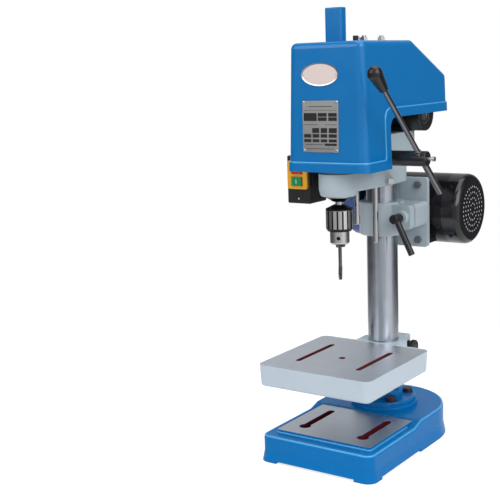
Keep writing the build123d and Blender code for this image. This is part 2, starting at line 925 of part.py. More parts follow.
def counter_pulley():
    return step_pulley(
        counter_pulley_large, -pulley_step_rise, countershaft_radius, counter_back, counter_height)


def belt_loop(first, second, left, right):
    """Belt round two pulleys given as (y, z, groove radius)."""
    def track(grow):
        return hull_of_circles(*[(y, z, radius + grow) for y, z, radius in (first, second)])
    return side_prism(track(belt_depth) - track(seat_gap), left, right)


def drive_belt():
    first = (motor_axis_back, motor_axis_height, motor_belt_radius - belt_depth)
    second = (counter_back, counter_height, counter_belt_radius - belt_depth)
    return belt_loop(first, second, belt_left, belt_right)


def transfer_belt():
    core = transfer_radius - belt_depth
    middle = (transfer_left + transfer_right) / 2
    first = (counter_back, counter_height, core)
    second = (quill_line, friction_height, core)
    return belt_loop(first, second, middle - belt_width / 2, middle + belt_width / 2)


def transfer_pulley(y, z):
    """Plain pulley of the belt inside the hood."""
    middle = (transfer_left + transfer_right) / 2
    half_groove = belt_width / 2 + seat_gap
    rim = crosswise(transfer_radius, transfer_left, transfer_right, y, z)
    groove = crosswise(transfer_radius + overrun, middle - half_groove, middle + half_groove, y, z)
    return rim - (groove - crosswise(transfer_radius - belt_depth, transfer_left, transfer_right, y, z))


def belt_guard():
    def track(shrink):
        return hull_of_circles(
            (motor_axis_back, motor_axis_height, guard_motor_radius - shrink),
            (counter_back, counter_height, guard_counter_radius - shrink))
    body = side_prism(track(0), guard_left, guard_right)
    body = fillet(body.edges().group_by(Axis.X)[0], guard_round)
    room = side_prism(track(guard_wall), guard_left + guard_wall, guard_right - guard_wall)
    body -= fillet(room.edges().group_by(Axis.X)[0], guard_round - guard_wall)
    back = guard_right - guard_wall - overrun
    hole = motor_shaft_radius + guard_wall
    body -= on_motor(hole, back, guard_right + overrun)
    return body - on_counter(guard_shaft_hole, back, guard_right + overrun)


def countershaft():
    shaft = on_counter(countershaft_radius, countershaft_left, countershaft_right)
    return shaft + transfer_pulley(counter_back, counter_height)


def countershaft_housing():
    """Round bearing housing on a flat foot that lies on the head."""
    body = on_counter(counter_housing_radius, counter_housing_left, counter_housing_right)
    body = fillet(body.edges().group_by(Axis.X)[-1], counter_end_recess / 4)
    low = counter_height - counter_housing_radius
    back = counter_back + counter_housing_radius
    left = counter_housing_left - overrun
    side = counter_foot_right
    body -= block(left, side, 0, back + overrun, low - overrun, counter_foot_top)
    body += block(-side, side, counter_foot_front, back, head_top, counter_foot_top)
    recess = counter_housing_right - counter_end_recess
    body -= on_counter(counter_end_recess_radius, recess, counter_housing_right + overrun)
    bore = countershaft_radius + running_gap
    return body - on_counter(bore, left, counter_housing_right + overrun)


# Friction drive to the spindle

disc_lower_top = friction_height - friction_wheel_radius - friction_neutral_gap
disc_upper_bottom = friction_height + friction_wheel_radius + friction_neutral_gap


def friction_shaft():
    shaft = on_friction(friction_shaft_radius, transfer_left, friction_wheel_right)
    return shaft + transfer_pulley(quill_line, friction_height)


def friction_wheel():
    wheel = on_friction(friction_wheel_radius, friction_wheel_left, friction_wheel_right)
    wheel = fillet(wheel.edges(), friction_neutral_gap)
    bore = friction_shaft_radius + fixed_gap
    left = friction_wheel_left - overrun
    return wheel - on_friction(bore, left, friction_wheel_right + overrun)


def friction_discs():
    discs = []
    for bottom in (disc_lower_top - friction_disc_thick, disc_upper_bottom):
        top = bottom + friction_disc_thick
        disc = on_spindle(friction_disc_radius, bottom, top)
        bore = sleeve_radius + fixed_gap
        discs.append(disc - on_spindle(bore, bottom - overrun, top + overrun))
    return discs


def two_flats(radius, flats, bottom, top):
    """Round bar with two flats, on the spindle line."""
    bar = on_spindle(radius, bottom, top)
    return bar & block(-radius, radius, quill_line - flats / 2, quill_line + flats / 2, bottom, top)


def drive_sleeve():
    body = on_spindle(sleeve_radius, sleeve_bottom, sleeve_top)
    radius = spindle_shank_radius + seat_gap
    flats = spindle_shank_flats + 2 * seat_gap
    return body - two_flats(radius, flats, sleeve_bottom - overrun, sleeve_top + overrun)


def sleeve_bearing_bottoms():
    drop = (bridge_plate - sleeve_bearing_height) / 2
    return (bridge_lower_bottom + drop, bridge_upper_bottom + drop)


def sleeve_bearings():
    rings = []
    for bottom in sleeve_bearing_bottoms():
        top = bottom + sleeve_bearing_height
        ring = on_spindle(sleeve_bearing_radius, bottom, top)
        bore = sleeve_radius + running_gap
        rings.append(ring - on_spindle(bore, bottom - overrun, top + overrun))
    return rings


def bearing_bridge():
    """C-shaped frame on the head that holds the drive sleeve and the friction shaft."""
    front = quill_line - bridge_front
    top = bridge_upper_bottom + bridge_plate
    wall = -bridge_back - bridge_wall
    body = block(-bridge_half_width, bridge_half_width, wall, -bridge_back, head_top, top)
    for bottom in (bridge_lower_bottom, bridge_upper_bottom):
        upper = bottom + bridge_plate
        plate = block(-bridge_half_width, bridge_half_width, front, -bridge_back, bottom, upper)
        body += fillet(plate.edges().filter_by(Axis.Z).group_by(Axis.Y)[0], bridge_wall)
    low = friction_height - bridge_arm_half_height
    high = friction_height + bridge_arm_half_height
    arm_end = quill_line - bridge_arm_half_height
    arm_right = bridge_arm_left + bridge_arm_width
    body += block(bridge_arm_left, -bridge_half_width, wall, -bridge_back, low, high)
    body += block(bridge_arm_left, arm_right, arm_end, -bridge_back, low, high)
    for x, y in hood_stud_places:
        body += upright(hood_boss_radius, top - overrun, hood_top - hood_wall, x, y)
        body -= upright(hood_stud_radius + fixed_gap, bridge_upper_bottom, hood_top, x, y)
    knob_hole = hood_knob_radius / 2 + fixed_gap
    body -= upright(knob_hole, bridge_upper_bottom, hood_top, 0, -hood_knob_front)
    for bottom in sleeve_bearing_bottoms():
        seat = sleeve_bearing_radius + fixed_gap
        body -= on_spindle(seat, bottom, bottom + sleeve_bearing_height)
    pass_radius = (sleeve_radius + sleeve_bearing_radius) / 2
    body -= on_spindle(pass_radius, bridge_lower_bottom - overrun, top + overrun)
    bore = friction_shaft_radius + running_gap
    left = bridge_arm_left - overrun
    return body - on_friction(bore, left, arm_right + overrun)


# Hood and what stands on it

hood_stud_places = [
    (x, y) for x in (-hood_stud_x, hood_stud_x) for y in (-hood_stud_front, -hood_stud_back)]


def hood_plan(grow, bottom, top):
    """Tapered column with round corners that bounds the hood in plan."""
    def level(share, height):
        half = hood_half_width + (hood_half_width_top - hood_half_width) * share + grow
        front = hood_front + (hood_front_top - hood_front) * share + grow
        back = hood_back + (hood_back_top - hood_back) * share + grow
        corner = hood_corner + grow
        return Pos(0, 0, height) * round_rectangle(2 * half, front + back, corner, 0, (back - front) / 2)
    span = hood_top - hood_bottom
    shares = [(height - hood_bottom) / span for height in (bottom, top)]
    return loft([level(shares[0], bottom), level(shares[1], top)], ruled=True)


def hood_side(shrink):
    """Upper outline of the hood seen from the right, closed well below its edge."""
    lean = atan2(hood_top - hood_slope_low, hood_back_top - hood_slope_start)
    drop = shrink / cos(lean)
    top = hood_top - shrink
    slope = tan(lean)
    start = hood_slope_start + (shrink - drop) / slope
    back = hood_back + overrun
    low = hood_top - drop - (back - hood_slope_start) * slope
    front = -hood_front - overrun
    floor = hood_bottom - overrun
    corners = [(front, floor), (front, top), (start, top), (back, low), (back, floor)]
    return make_face(Polyline(*corners, close=True))


def hood_mouth(rise):
    """Room under the L-shaped lower edge, raised and brought forward by rise."""
    front = -hood_front - hood_lip_width - overrun
    back = hood_back + hood_lip_width + overrun
    floor = hood_bottom - hood_lip_width - overrun
    notch = -hood_notch - rise
    corner = (notch, hood_rear_bottom + rise)
    edge = hood_bottom + rise
    corners = [(front, floor), (front, edge), (notch, edge), corner, (back, corner[1]), (back, floor)]
    lower = make_face(Polyline(*corners, close=True))
    inner = [v for v in lower.vertices() if hypot(v.Y - corner[1], v.X - corner[0]) < overrun]
    return fillet(inner, hood_notch_round)


def hood_solid(shrink):
    """Closed form of the hood, drawn in by shrink on every side but the lower one."""
    half = hood_half_width + overrun
    body = hood_plan(-shrink, hood_bottom, hood_top) & side_prism(hood_side(shrink), -half, half)
    return fillet(upper_rims(body), hood_edge - shrink)


def hood_band():
    """Thicker band along the lower edge, with its upper edge rounded."""
    half = hood_half_width + hood_lip + overrun
    lip_top = hood_rear_bottom + hood_lip_width
    band = hood_plan(hood_lip, hood_bottom, lip_top) & side_prism(hood_mouth(hood_lip_width), -half, half)
    front = hood_corner - hood_front
    back = hood_back - hood_corner
    ledge = [face for face in band.faces() if abs(face.center().X) < hood_corner
             and front < face.center().Y < back and face.center().Z > hood_bottom + hood_lip]
    return fillet(rims_of(ledge), hood_lip / 2)


def hood():
    half = hood_half_width + hood_lip + overrun
    body = hood_solid(0)
    body += hood_band()
    body -= hood_solid(hood_wall)
    body -= side_prism(hood_mouth(0), -half, half)
    body -= on_spindle(cap_depth / 2 - cap_wall, hood_top - hood_edge, hood_top + overrun)
    for x, y in hood_stud_places:
        body -= upright(hood_stud_radius + fixed_gap, hood_top - hood_edge, hood_top + overrun, x, y)
    knob_hole = hood_knob_radius / 2 + fixed_gap
    body -= upright(knob_hole, hood_top - hood_edge, hood_top + overrun, 0, -hood_knob_front)
    room = countershaft_radius + seat_gap + hood_wall
    return body - on_counter(room, -half, transfer_right)


def spindle_cap():
    """Hollow cap over the spindle's upper end."""
    body = prism(round_rectangle(cap_width, cap_depth, cap_corner, 0, quill_line), hood_top, cap_top)
    body = fillet(body.edges().group_by(Axis.Z)[-1], cap_round)
    width = cap_width - 2 * cap_wall
    depth = cap_depth - 2 * cap_wall
    room = round_rectangle(width, depth, cap_corner - cap_wall, 0, quill_line)
    return body - prism(room, hood_top - overrun, cap_top - cap_wall)


def hood_fasteners():
    """Four studs with nuts, and a small round knob on a stud."""
    pieces = []
    nut_top = hood_top + hood_nut_height
    for x, y in hood_stud_places:
        stud = upright(hood_stud_radius, bridge_upper_bottom, nut_top + hood_stud_out, x, y)
        pieces.append(stud + hex_bar(hood_nut_flats, hood_top, nut_top, x, y))
    knob = upright(hood_knob_radius, hood_top, hood_top + hood_knob_height, 0, -hood_knob_front)
    knob = fillet(knob.edges().group_by(Axis.Z)[-1], hood_knob_radius / 4)
    pieces.append(knob + upright(hood_knob_radius / 2, bridge_upper_bottom, hood_top, 0, -hood_knob_front))
    return pieces


# Quill and feed

tooth_pitch = pi * gear_module
sector_above_count = ceil(quill_travel / tooth_pitch) + 1
addendum = gear_module * addendum_share
dedendum = gear_module * dedendum_share
sector_pitch_radius = gear_module * sector_full_count / 2


def rack_gap(height):
    """One straight-sided gap of the rack, cut across the back of the quill."""
    slope = tan(radians(pressure_angle))
    pitch_line = quill_line + rack_setback
    mouth = tooth_pitch / 4 + (addendum + overrun) * slope
    root = tooth_pitch / 4 - dedendum * slope
    outer = pitch_line + addendum + overrun
    inner = pitch_line - dedendum
    outline = make_face(Polyline((outer, height - mouth), (outer, height + mouth),
                                 (inner, height + root), (inner, height - root), close=True))
    return side_prism(outline, -quill_radius, quill_radius)


def quill():
    body = on_spindle(quill_radius, quill_bottom, quill_top)
    body -= on_spindle(quill_bore_radius, quill_bottom - overrun, quill_top + overrun)
    lower = quill_bottom + quill_bearing_height
    body -= on_spindle(quill_lower_bearing_radius + fixed_gap, quill_bottom - overrun, lower)
    upper = quill_top - quill_bearing_height
    body -= on_spindle(quill_upper_bearing_radius + fixed_gap, upper, quill_top + overrun)
    for k in range(-rack_below_count, sector_above_count):
        body -= rack_gap(feed_height + k * tooth_pitch)
    return body


def quill_bearings():
    rings = []
    upper = quill_top - quill_bearing_height
    places = [(quill_bottom, quill_lower_bearing_radius), (upper, quill_upper_bearing_radius)]
    for bottom, radius in places:
        ring = on_spindle(radius, bottom, bottom + quill_bearing_height)
        bore = spindle_radius + running_gap
        rings.append(ring - on_spindle(bore, bottom - overrun, bottom + quill_bearing_height + overrun))
    return rings


def quill_cap():
    """Conical nut that closes the quill's lower end."""
    cone = Cone(quill_cap_foot_radius, quill_radius - seat_gap, quill_cap_height, align=UP)
    bottom = quill_bottom - quill_cap_height
    body = Pos(0, quill_line, bottom) * cone
    return body - on_spindle(spindle_radius + seat_gap, bottom - overrun, quill_bottom + overrun)


def involute(angle):
    return tan(angle) - angle


def tooth_half_angle(radius):
    """Half the angle that a tooth of the sector fills at a radius."""
    base_radius = sector_pitch_radius * cos(radians(pressure_angle))
    at_radius = acos(min(1, base_radius / radius))
    full = pi / (2 * sector_full_count) + involute(radians(pressure_angle)) - involute(at_radius)
    return full - tooth_play / 2 / sector_pitch_radius


def sector_point(radius, angle):
    """Place at an angle above the forward direction of the feed shaft."""
    return (-feed_front - radius * cos(angle), feed_height + radius * sin(angle))


def feed_sector():
    step = 2 * pi / sector_full_count
    root = sector_pitch_radius - dedendum
    radii = (root, sector_pitch_radius, sector_pitch_radius + addendum)
    points = [sector_point(0, 0)]
    for k in range(-sector_below_count, sector_above_count + 1):
        points += [sector_point(radius, k * step - tooth_half_angle(radius)) for radius in radii]
        points += [sector_point(radius, k * step + tooth_half_angle(radius)) for radius in reversed(radii)]
    outline = make_face(Polyline(*points, close=True))
    half = sector_width / 2
    body = side_prism(outline, -half, half)
    body += on_feed(sector_hub_radius, -half, half)
    bore = feed_shaft_radius + fixed_gap
    return body - on_feed(bore, -half - overrun, half + overrun)


def feed_shaft():
    return on_feed(feed_shaft_radius, -feed_shaft_left, lever_shaft_end)


def shaft_bushes():
    bushes = []
    for left in (-head_half_width, head_half_width - feed_bush_length):
        right = left + feed_bush_length
        bush = on_feed(feed_bush_radius, left, right)
        bore = feed_shaft_radius + running_gap
        bushes.append(bush - on_feed(bore, left - overrun, right + overrun))
    return bushes


def return_spring_cup():
    """Cup on the head's left side that holds the flat spiral return spring."""
    left = -head_half_width - spring_cup_depth
    body = on_feed(spring_cup_radius, left, -head_half_width)
    body = fillet(body.edges().group_by(Axis.X)[0], spring_cup_wall)
    inner = spring_cup_radius - spring_cup_wall
    return body - on_feed(inner, left + spring_cup_wall, -head_half_width + overrun)


# Feed lever

lever_turn = Pos(lever_plane, -feed_front, feed_height) * Rot(90 - lever_rise, 0, 0)


def lever_hub():
    left = head_half_width + seat_gap
    body = on_feed(lever_hub_radius, left, lever_hub_end)
    body = fillet(body.edges().group_by(Axis.X)[-1], lever_hub_radius / 8)
    body -= on_feed(feed_shaft_radius + fixed_gap, left - overrun, lever_shaft_end)
    body -= lever_turn * upright(lever_stub_radius + fixed_gap, -lever_stub_lower, lever_stub_lower)
    screw = lever_screw_radius + fixed_gap
    return body - on_feed(screw, lever_plane, lever_hub_end + overrun)


def lever_rod():
    """Bar through the hub, thicker below, with a thinner upper part that carries the knob."""
    stub = upright(lever_stub_radius, -lever_stub_lower, lever_stub_upper)
    stub = fillet(stub.edges().group_by(Axis.Z)[0], lever_stub_radius / 4)
    return lever_turn * (stub + upright(lever_rod_radius, 0, lever_rod_reach))


def lever_knob():
    """Tapered grip with a ball-shaped end, turned round the rod."""
    start = lever_knob_start
    end = start + lever_knob_length
    ball = end - lever_knob_radius
    with BuildPart() as grip:
        with BuildSketch(Plane.XZ):
            with BuildLine():
                Line((0, start), (lever_knob_foot_radius, start))
                Line((lever_knob_foot_radius, start), (lever_knob_radius, ball))
                RadiusArc((lever_knob_radius, ball), (0, end), -lever_knob_radius)
                Line((0, end), (0, start))
            make_face()
        revolve(axis=Axis.Z)
    bore = upright(lever_rod_radius + fixed_gap, start - overrun, lever_rod_reach)
    return lever_turn * (grip.part - bore)


def lever_set_screw():
    start = lever_plane + lever_stub_radius + fixed_gap
    end = lever_hub_end + lever_screw_out
    screw = on_feed(lever_screw_radius, start, end)
    return screw + on_feed(lever_screw_head_radius, end - lever_screw_head, end)


# Depth stop

def depth_arm():
    """Plate on the quill's top that carries the depth rod. Its notch clears the feed sector."""
    top = quill_top + depth_arm_height
    low = quill_top - overrun
    high = top + overrun
    rod_y = quill_line + depth_rod_setback
    outline = hull_of_circles((0, quill_line, quill_bore_radius), (depth_rod_x, rod_y, depth_arm_radius))
    body = prism(outline + Pos(0, quill_line) * Circle(quill_radius - seat_gap), quill_top, top)
    body -= on_spindle(quill_bore_radius, low, high)
    half_notch = sector_width / 2 + sector_pocket_gap
    notch_front = -feed_front - sector_tip_radius - sector_pocket_gap
    body -= block(-half_notch, half_notch, notch_front, rod_y + depth_arm_radius, low, high)
    return body - upright(depth_rod_radius + fixed_gap, low, high, depth_rod_x, rod_y)


def depth_rod():
    """Rod that hangs from the arm, with a thicker lower end and a nut above the arm."""
    rod_y = quill_line + depth_rod_setback
    top = quill_top + depth_arm_height
    body = upright(depth_rod_radius, depth_rod_end, top + depth_nut_height, depth_rod_x, rod_y)
    thick_top = depth_rod_end + depth_rod_end_length
    end = upright(depth_rod_end_radius, depth_rod_end, thick_top, depth_rod_x, rod_y)
    body += chamfer(end.edges().group_by(Axis.Z)[0], depth_rod_radius / 4)
    return body + hex_bar(2 * depth_nut_radius, top, top + depth_nut_height, depth_rod_x, rod_y)


# Spindle, chuck and tap

def spindle():
    shoulder = quill_bottom - quill_cap_height
    body = on_spindle(spindle_neck_radius, spindle_bottom, shoulder)
    body += on_spindle(spindle_radius, shoulder, quill_top)
    return body + two_flats(spindle_shank_radius, spindle_shank_flats, quill_top, spindle_top)


def jaw_place(k):
    turn = Pos(0, quill_line, jaw_tip) * Rot(0, 0, jaw_turn + 360 * k / jaw_count)
    return turn * Pos(jaw_tip_offset, 0, 0) * Rot(0, jaw_slope, 0)


def chuck_body():
    nose = on_spindle(chuck_nose_radius, chuck_nose_bottom, chuck_sleeve_bottom - seat_gap)
    body = fillet(nose.edges().group_by(Axis.Z)[0], chuck_nose_round)
    body += on_spindle(chuck_core_radius, chuck_nose_bottom + chuck_nose_round, chuck_shoulder + seat_gap)
    cone_height = chuck_cone_height - seat_gap
    cone_radius = chuck_sleeve_radius - chuck_flute_depth
    cone = Cone(cone_radius, spindle_radius + chuck_flute_depth, cone_height, align=UP)
    body += Pos(0, quill_line, chuck_shoulder + seat_gap) * cone
    body -= on_spindle(spindle_neck_radius + fixed_gap, spindle_bottom, chuck_top + overrun)
    body -= on_spindle(chuck_throat_radius, chuck_nose_bottom - overrun, chuck_throat_top)
    room = upright(jaw_radius + seat_gap / 3, -overrun, jaw_length + 2 * jaw_travel)
    for k in range(jaw_count):
        body -= jaw_place(k) * room
    key_end = chuck_core_radius - chuck_key_hole / 2
    key = Rot(0, 90, 0) * upright(chuck_key_hole / 2, key_end, chuck_sleeve_radius)
    for k in range(jaw_count):
        turn = Pos(0, quill_line, chuck_key_height) * Rot(0, 0, chuck_key_turn + 360 * k / jaw_count)
        body -= turn * key
    return body


def chuck_sleeve():
    """Fluted sleeve with a bevel gear on its lower end, turned by the key."""
    bottom = chuck_sleeve_bottom
    body = upright(chuck_sleeve_radius, chuck_teeth_top, chuck_shoulder)
    body = fillet(body.edges().group_by(Axis.Z)[-1], chuck_flute_depth / 2)
    foot_radius = chuck_sleeve_radius - chuck_teeth_depth
    foot = Cone(foot_radius, chuck_sleeve_radius, chuck_teeth_top - bottom, align=UP)
    body += Pos(0, 0, bottom) * foot
    flute = block(chuck_sleeve_radius - chuck_flute_depth, chuck_sleeve_radius + overrun,
                  -chuck_flute_width / 2, chuck_flute_width / 2, chuck_teeth_top, chuck_flute_top)
    for k in range(chuck_flute_count):
        body -= Rot(0, 0, 360 * k / chuck_flute_count) * flute
    gap = pi * foot_radius / chuck_teeth_count
    tooth_gap = block(foot_radius - chuck_teeth_depth / 3, chuck_sleeve_radius + overrun, -gap / 2, gap / 2,
                      bottom - overrun, bottom + chuck_teeth_depth)
    for k in range(chuck_teeth_count):
        body -= Rot(0, 0, 360 * k / chuck_teeth_count) * tooth_gap
    body -= upright(chuck_core_radius + running_gap, bottom - overrun, chuck_shoulder + overrun)
    body -= upright(chuck_cavity_radius, bottom + chuck_land, chuck_shoulder - chuck_land)
    return Pos(0, quill_line, 0) * body


def chuck_jaw(k):
    """Round jaw in its slanting hole, cut flat where it holds the tap."""
    jaw = jaw_place(k) * upright(jaw_radius, 0, jaw_length)
    grip = tap_shank_radius + seat_gap
    back = 2 * chuck_cavity_radius
    turn = Pos(0, quill_line, 0) * Rot(0, 0, jaw_turn + 360 * k / jaw_count)
    jaw -= turn * block(-back, grip, -back, back, jaw_tip - back, jaw_tip + 2 * back)
    return jaw & on_spindle(chuck_sleeve_radius, jaw_tip, chuck_shoulder)


def tap():
    point = Cone(tap_point_radius, tap_thread_radius, tap_point, align=UP)
    body = Pos(0, 0, tap_end) * point
    body += upright(tap_thread_radius, tap_end + tap_point, tap_thread_top)
    for k in range(tap_flute_count):
        turn = Rot(0, 0, 360 * k / tap_flute_count)
        body -= turn * upright(tap_flute_radius, tap_end - overrun, tap_thread_top, tap_thread_radius, 0)
    body += upright(tap_shank_radius, tap_thread_top, tap_top)
    return Pos(0, quill_line, 0) * body


# Switch

switch_middle = (switch_left + switch_right) / 2
buttons = {
    "start_button": (start_button_centre, start_button_height),
    "stop_button": (stop_button_centre, stop_button_height),
}


def button_block(centre, height, grow, front, back):
    half_width = button_width / 2 + grow
    half_height = height / 2 + grow
    left = switch_middle - half_width
    right = switch_middle + half_width
    return block(left, right, front, back, centre - half_height, centre + half_height)


def switch_box():
    body = block(switch_left, switch_right, switch_front, switch_back, switch_bottom, switch_top)
    body = fillet(body.edges(), switch_round)
    for centre, height in buttons.values():
        back = switch_front + button_depth + button_travel
        body -= button_block(centre, height, seat_gap, switch_front - overrun, back)
    return body


def switch_bezel():
    """Raised frame round the two buttons."""
    face = Pos(0, 0) * RectangleRounded(bezel_width, bezel_height, bezel_corner)
    place = Pos(switch_middle, switch_front, bezel_centre_height)
    body = place * extrude(Plane.XZ * face, bezel_thick)
    body = fillet(body.edges().group_by(Axis.Y)[0], bezel_corner / 4)
    for centre, height in buttons.values():
        front = switch_front - bezel_thick - overrun
        body -= button_block(centre, height, seat_gap, front, switch_front + overrun)
    return body


def push_button(name):
    centre, height = buttons[name]
    front = switch_front - bezel_thick - button_out
    body = button_block(centre, height, 0, front, switch_front + button_depth)
    return fillet(body.edges().group_by(Axis.Y)[0], button_round)


def switch_bracket():
    """Sheet bent twice, from the head's left wall to the side of the box."""
    sheet = switch_bracket_sheet
    wall = -head_half_width
    body = block(wall - sheet, wall, -switch_bracket_web, -switch_bracket_foot_end,
                 switch_bracket_bottom, switch_bracket_top)
    web_back = sheet - switch_bracket_web
    body += block(switch_right, wall, -switch_bracket_web, web_back,
                  switch_bracket_bottom, switch_bracket_top)
    return body + block(switch_right, switch_right + sheet, -switch_bracket_reach, web_back,
                        switch_bracket_bottom, switch_bracket_top)


nodes = {
    "base_casting": base_casting(),
    "column_flange": column_flange(),
    "flange_bolts": flange_bolts(),
    "column": column(),
    "work_table": work_table(),
    "table_clamp_screw": table_clamp_screw(),
    "table_clamp_handle": table_clamp_handle(),
    "head_casting": head_casting(),
    "head_lock_screw": head_lock_screw(),
    "guide_rod": guide_rod(),
    "motor_bracket": motor_bracket(),
    "bracket_clamp_stud": bracket_clamp_stud(),
    "bracket_clamp_handle": bracket_clamp_handle(),
    "motor_bolts": motor_bolts(),
    "motor_frame": motor_frame(),
    "motor_end_shield": motor_end_shield(),
    "fan_cowl": fan_cowl(),
    "motor_shaft": motor_shaft(),
    "motor_fan": motor_fan(),
    "motor_pulley": motor_pulley(),
    "drive_belt": drive_belt(),
    "counter_pulley": counter_pulley(),
    "countershaft": countershaft(),
    "countershaft_housing": countershaft_housing(),
    "transfer_belt": transfer_belt(),
    "belt_guard": belt_guard(),
    "friction_shaft": friction_shaft(),
    "friction_wheel": friction_wheel(),
    "friction_discs": friction_discs(),
    "drive_sleeve": drive_sleeve(),
    "sleeve_bearings": sleeve_bearings(),
    "bearing_bridge": bearing_bridge(),
    "hood": hood(),
    "spindle_cap": spindle_cap(),
    "hood_fasteners": hood_fasteners(),
    "quill": quill(),
    "quill_bearings": quill_bearings(),
    "quill_cap": quill_cap(),
    "feed_sector": feed_sector(),
    "feed_shaft": feed_shaft(),
    "shaft_bushes": shaft_bushes(),
    "return_spring_cup": return_spring_cup(),
    "lever_hub": lever_hub(),
    "lever_rod": lever_rod(),
    "lever_knob": lever_knob(),
    "lever_set_screw": lever_set_screw(),
    "depth_arm": depth_arm(),
    "depth_rod": depth_rod(),
    "spindle": spindle(),
    "chuck_body": chuck_body(),
    "chuck_sleeve": chuck_sleeve(),
    "tap": tap(),
    "switch_box": switch_box(),
    "switch_bezel": switch_bezel(),
    "switch_bracket": switch_bracket(),
}
for k in range(jaw_count):
    nodes[f"chuck_jaw_{k + 1}"] = chuck_jaw(k)
for name in buttons:
    nodes[name] = push_button(name)

os.makedirs("parts", exist_ok=True)
for name, shape in nodes.items():
    if isinstance(shape, list):
        shape = Compound(children=[Part() + solid for solid in shape])
    export_step(shape, f"parts/{name}.step")
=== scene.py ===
from math import atan2, cos, pi, radians, sin
import bpy
from mathutils import Matrix, Vector


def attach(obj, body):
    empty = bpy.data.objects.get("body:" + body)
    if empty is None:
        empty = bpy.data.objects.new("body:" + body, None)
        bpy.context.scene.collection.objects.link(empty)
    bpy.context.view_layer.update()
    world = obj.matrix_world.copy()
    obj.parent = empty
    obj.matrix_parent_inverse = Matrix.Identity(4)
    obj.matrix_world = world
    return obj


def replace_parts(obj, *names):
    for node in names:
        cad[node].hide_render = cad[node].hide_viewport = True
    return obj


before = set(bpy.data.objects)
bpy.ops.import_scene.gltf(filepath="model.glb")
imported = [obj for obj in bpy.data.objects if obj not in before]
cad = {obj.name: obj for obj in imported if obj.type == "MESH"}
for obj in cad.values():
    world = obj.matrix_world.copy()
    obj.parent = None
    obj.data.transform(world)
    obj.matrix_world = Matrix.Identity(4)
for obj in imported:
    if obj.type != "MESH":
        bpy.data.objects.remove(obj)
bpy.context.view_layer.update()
bpy.ops.object.select_all(action="DESELECT")

# Studio
# A pale floor, a white surround and soft lamps in front, on the right and above. Shiny pieces mirror
# gray bands and one bright card instead of the white. The camera stands in front and to the right.


def feed(tree, made, inputs):
    """Fills a node's sockets, named or numbered i0, i1 and so on, with links or plain values."""
    for key, value in inputs.items():
        place = made.inputs[int(key[1:]) if key[1:].isdigit() else key.replace("_", " ")]
        if isinstance(value, bpy.types.NodeSocket):
            tree.links.new(value, place)
        else:
            place.default_value = value


def node(tree, kind, props=None, **inputs):
    made = tree.nodes.new("ShaderNode" + kind)
    for key, value in (props or {}).items():
        setattr(made, key, value)
    feed(tree, made, inputs)
    return made


def math(tree, operation, first, second=0.0, third=0.0):
    return node(tree, "Math", {"operation": operation}, i0=first, i1=second, i2=third).outputs[0]


def vector_math(tree, operation, first, second=(0.0, 0.0, 0.0), result="Vector"):
    return node(tree, "VectorMath", {"operation": operation}, i0=first, i1=second).outputs[result]


def xyz(tree, vector):
    return node(tree, "SeparateXYZ", i0=vector).outputs


def object_point(tree):
    return node(tree, "TexCoord").outputs["Object"]


def blend_colors(tree, factor, first, second):
    return node(tree, "Mix", {"data_type": "RGBA"}, i0=factor, i6=first, i7=second).outputs[2]


def blend_values(tree, factor, first, second):
    return node(tree, "MapRange", i0=factor, i1=0.0, i2=1.0, i3=first, i4=second).outputs[0]


def near(tree, value, middle, reach):
    """1 where a value is nearer to a middle than a reach."""
    apart = math(tree, "ABSOLUTE", math(tree, "SUBTRACT", value, middle))
    return math(tree, "LESS_THAN", apart, reach)


def blank_material(name):
    material = bpy.data.materials.new(name)
    material.use_nodes = True
    material.node_tree.nodes.clear()
    return material, material.node_tree


# The bands follow the direction round the machine: 0 and 1 lie behind it, 0.5 towards the camera.
camera_right, to_camera = (0.815, 0.579, 0.0), (0.579, -0.815, 0.0)
behind = (0.60, 0.61, 0.63, 1)
bands = ((0.06, 0.50), (0.12, 0.10), (0.21, 0.09), (0.30, 0.14), (0.35, 0.42), (0.44, 0.50),
         (0.53, 0.56), (0.58, 0.86), (0.66, 0.86), (0.72, 0.26), (0.77, 0.09), (0.88, 0.08),
         (0.94, 0.50))
card_turn, card_half_turn = 0.50, 0.05
card_height, card_half_height = 0.36, 0.10
card_light = (1.8, 1.83, 1.9, 1)
surround_light = (0.62, 0.62, 0.63, 1)
white = (1, 1, 1, 1)
world = bpy.data.worlds.new("studio_surround")
bpy.context.scene.world = world
world.use_nodes = True
tree = world.node_tree
tree.nodes.clear()
path = node(tree, "LightPath").outputs
seen = math(tree, "MAXIMUM", path["Is Camera Ray"], path["Is Transmission Ray"])
way = node(tree, "TexCoord").outputs["Generated"]
side = vector_math(tree, "DOT_PRODUCT", way, camera_right, "Value")
front = vector_math(tree, "DOT_PRODUCT", way, to_camera, "Value")
angle = math(tree, "ARCTAN2", side, front)
turned = node(tree, "MapRange", Value=angle, i1=-pi, i2=pi).outputs[0]
ramp = node(tree, "ValToRGB", Fac=turned)
for end in ramp.color_ramp.elements:
    end.color = behind
for place, level in bands:
    ramp.color_ramp.elements.new(place).color = (level, level * 1.01, level * 1.04, 1)
card = math(tree, "MULTIPLY", near(tree, turned, card_turn, card_half_turn),
            near(tree, xyz(tree, way)[2], card_height, card_half_height))
mirrored = blend_colors(tree, card, ramp.outputs["Color"], card_light)
around = blend_colors(tree, path["Is Glossy Ray"], surround_light, mirrored)
light = node(tree, "Background", Color=blend_colors(tree, seen, around, white), Strength=1.0)
tree.links.new(light.outputs[0], node(tree, "OutputWorld").inputs["Surface"])

